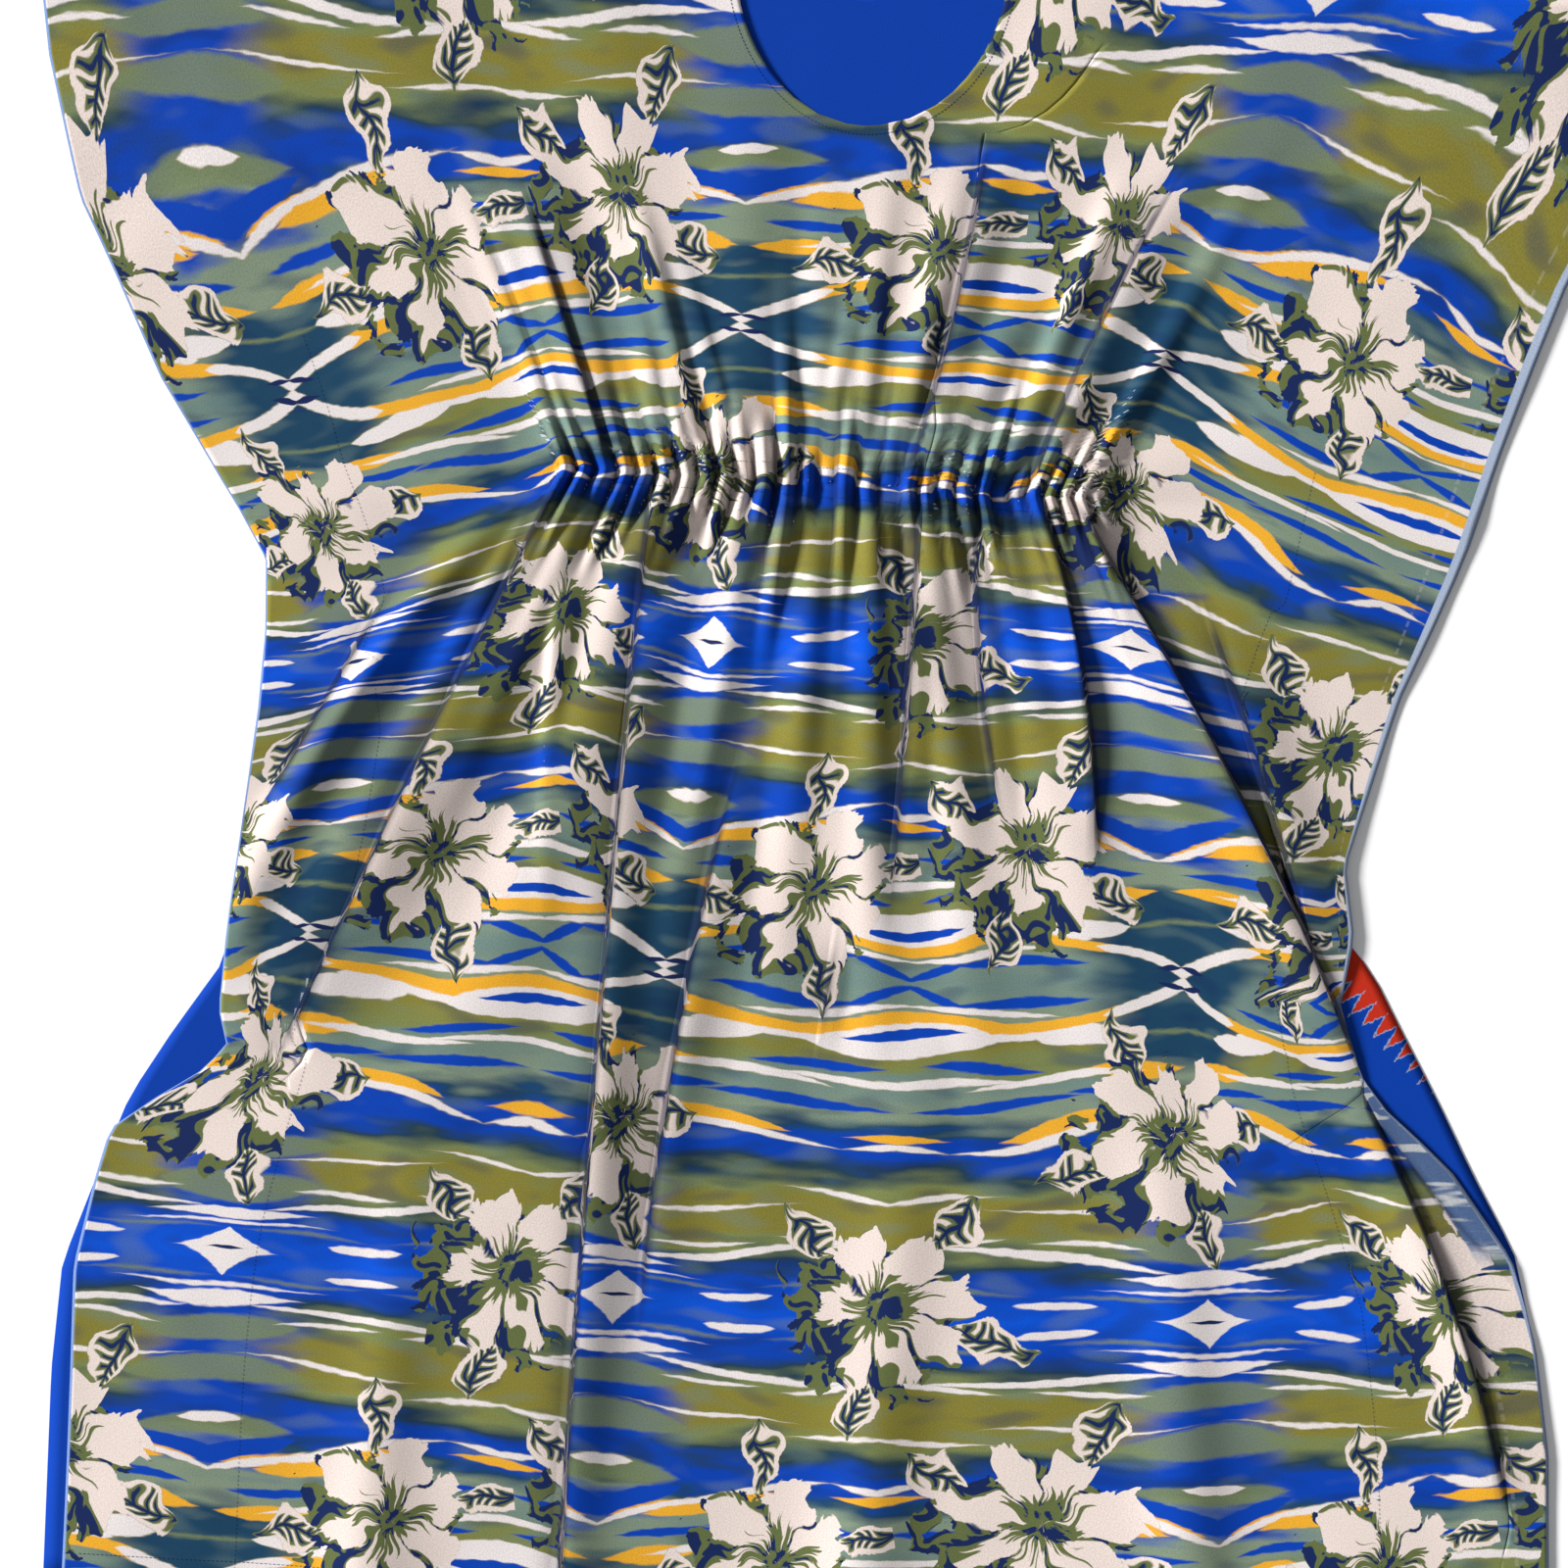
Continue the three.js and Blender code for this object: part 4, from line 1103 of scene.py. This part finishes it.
def printed(tree, s, t):
    """The print. Along the right selvedge it has faint dashes and a grey-blue band, which low down
    is a worn strip of the turned edge, and along both selvedges a thin line."""
    colour = place(tree, print_group, Across=s, Down=t)["Color"]
    dash = (t / 9.0).math("FRACT").math("GREATER_THAN", 0.35)
    colour = mix(step(s, 1320.0, 1321.0) * step(s, 1323.5, 1322.5) * dash * 0.12, colour, WHITE)
    worn = noise(t / 9.0, s / 40.0, 31.0, 1.0)
    turned = step(t, 470.0, 500.0) * step(t, 660.0, 630.0) * step(s, 1330.0, 1331.0)
    colour = mix(turned, colour, dye(84, 108, 150))
    colour = mix(turned * step(worn, 0.04, 0.12), colour, dye(196, 200, 204))
    band = step(s, 1336.0, 1337.0) * step(t, 500.0, 470.0)
    colour = mix(band, colour, dye(164, 178, 202))
    return lay(colour, (s, 1342.8, 1343.6, dye(140, 157, 188)), (s, 2.6, 1.6, dye(110, 134, 180)))


def washed(tree, s, t):
    """The print's wrong side: the same colours, paler and greyer."""
    return mix(0.55, printed(tree, s, t), dye(206, 214, 220))


def blue_and_red(tree, s, t):
    """The back: blue, with a red band that ends in feathered teeth along a shallow chevron."""
    x = s - BACK_ZERO
    chevron = t - 444.0 - (abs(x + 37.0) - 493.0) * 0.85
    teeth = (x + t) * 0.7 / 13.0
    saw = abs(teeth.math("FRACT") - 0.5) * 54.0 + noise(x / 3.0, t / 9.0, 3.0, 2.0) * 16.0
    below = chevron + saw - 8.0
    return lay(BACK_RED, (below, -7.0, -5.0, BACK_RIM), (below, -2.5, -0.5, BACK_BLUE),
               (chevron, -150.0, -158.0, BACK_BLUE))


def plain(red, green, blue):
    """A drawing function for cloth of one colour, in uneven patches."""
    def draw(tree, s, t):
        return mix(noise(s / 40.0, t / 40.0) + 0.3, dye(red, green, blue),
                   dye(red * 0.93, green * 0.93, blue * 0.95))
    return draw


def wear(piece, *materials):
    """Gives a piece its materials, in slot order."""
    for material in materials:
        piece.data.materials.append(material)


wear(front, cloth_material("printed_cotton", printed, 0.9, 0.82),
     cloth_material("printed_cotton_wrong_side", washed, 0.9, 0.86))
wear(back, cloth_material("blue_cotton", blue_and_red, 0.9, 0.82),
     cloth_material("blue_cotton_wrong_side", plain(60, 96, 190), 0.9, 0.86))
white_elastic = cloth_material("woven_elastic", plain(238, 236, 230), 1.6, 0.7)
wear(elastic, white_elastic, white_elastic)
print("materials:", [m.name for m in bpy.data.materials])

# %% [markdown]
# ## Thread
# The waist's thread is deep blue, as its rows hardly show on the print, and the same thread sews
# the rest. Stripes between two blues stand for the twist of its strands.

# %% Thread
thread, tree, shader = new_material("sewing_thread", 0.9)
spot = tree.nodes.new("ShaderNodeTexCoord")
x, y = halves(tree, spot.outputs["Object"])
twist = (x * 9000.0 + y * 5000.0).math("SINE")
feed(shader.inputs["Base Color"], mix(twist * 0.5 + 0.5, dye(14, 34, 84), dye(30, 52, 104)))
for row in stitches:
    wear(row, thread)
print("rows of thread:", len(stitches))

# %% [markdown]
# ## Each piece on the body
# Each piece rides on the one rigid body, and the solids of the front, the back and the elastic are
# hidden. The sheets are cut from a 1.372 m width of cloth, 1.36 m long, less the neck.

for piece in [front, back, elastic] + stitches:
    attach(piece, "root")
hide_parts("front_panel")
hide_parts("back_panel")
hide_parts("waist_elastic")

# %% [markdown]
# ## Floor
# The dress lies on a pale floor. It is a plain square, a hair below the cloth, and takes no light
# of its own, so that the dress's shadow is all that shows on it.

# %% Floor
bpy.ops.mesh.primitive_plane_add(size=9.0, location=(0.0, 0.0, -0.0002))
floor = bpy.context.object
floor.name = "floor"
paint, _, shader = new_material("pale_floor", 0.7, 0.2)
shader.inputs["Base Color"].default_value = (0.90, 0.90, 0.91, 1.0)
floor.data.materials.append(paint)
print("floor:", round(floor.dimensions.x, 1), "m square")

# %% [markdown]
# ## Light
# The photograph was taken in bright daylight that comes low from the left, so one wide sun lamp
# stands there and a pale sky fills the shadows. A low lamp is what makes the folds stand out.

# %% Light
lamp = bpy.data.lights.new("window", "SUN")
lamp.energy, lamp.color, lamp.angle = 7.2, (1.0, 0.99, 0.97), math.radians(14.0)
window = add_piece("window", lamp)
window.location = (-2.3, 0.9, 1.02)
window.rotation_euler = (-window.location).to_track_quat("-Z", "Y").to_euler()
world = bpy.data.worlds.new("soft_room")
bpy.context.scene.world = world
world.use_nodes = True
sky = next(n for n in world.node_tree.nodes if n.bl_idname == "ShaderNodeBackground")
sky.inputs["Color"].default_value = (0.97, 0.985, 1.0, 1.0)
sky.inputs["Strength"].default_value = 0.32
bpy.context.scene.view_settings.view_transform = "Standard"
print("light stands", round(math.degrees(math.asin(1.02 / window.location.length))), "degrees up")

# %% [markdown]
# ## Camera
# It looks straight down from 2.2 m on a picture 1.28 m wide, turned 3.3 degrees as the photograph
# is. The lens follows from those sizes: sensor width times distance, over the picture's width.

# %% Camera
HEIGHT, PICTURE, TILT, SENSOR = 2.2, 1.28, 3.3, 36.0
eye = bpy.data.cameras.new("camera")
camera = add_piece("camera", eye)
camera.location = (-0.0336, 0.0008, HEIGHT)
camera.rotation_euler = (0.0, 0.0, math.radians(TILT))
eye.sensor_width = SENSOR
eye.lens = SENSOR * HEIGHT / PICTURE
bpy.context.scene.camera = camera
print("camera:", [round(v, 4) for v in camera.location], "lens", round(eye.lens, 1))
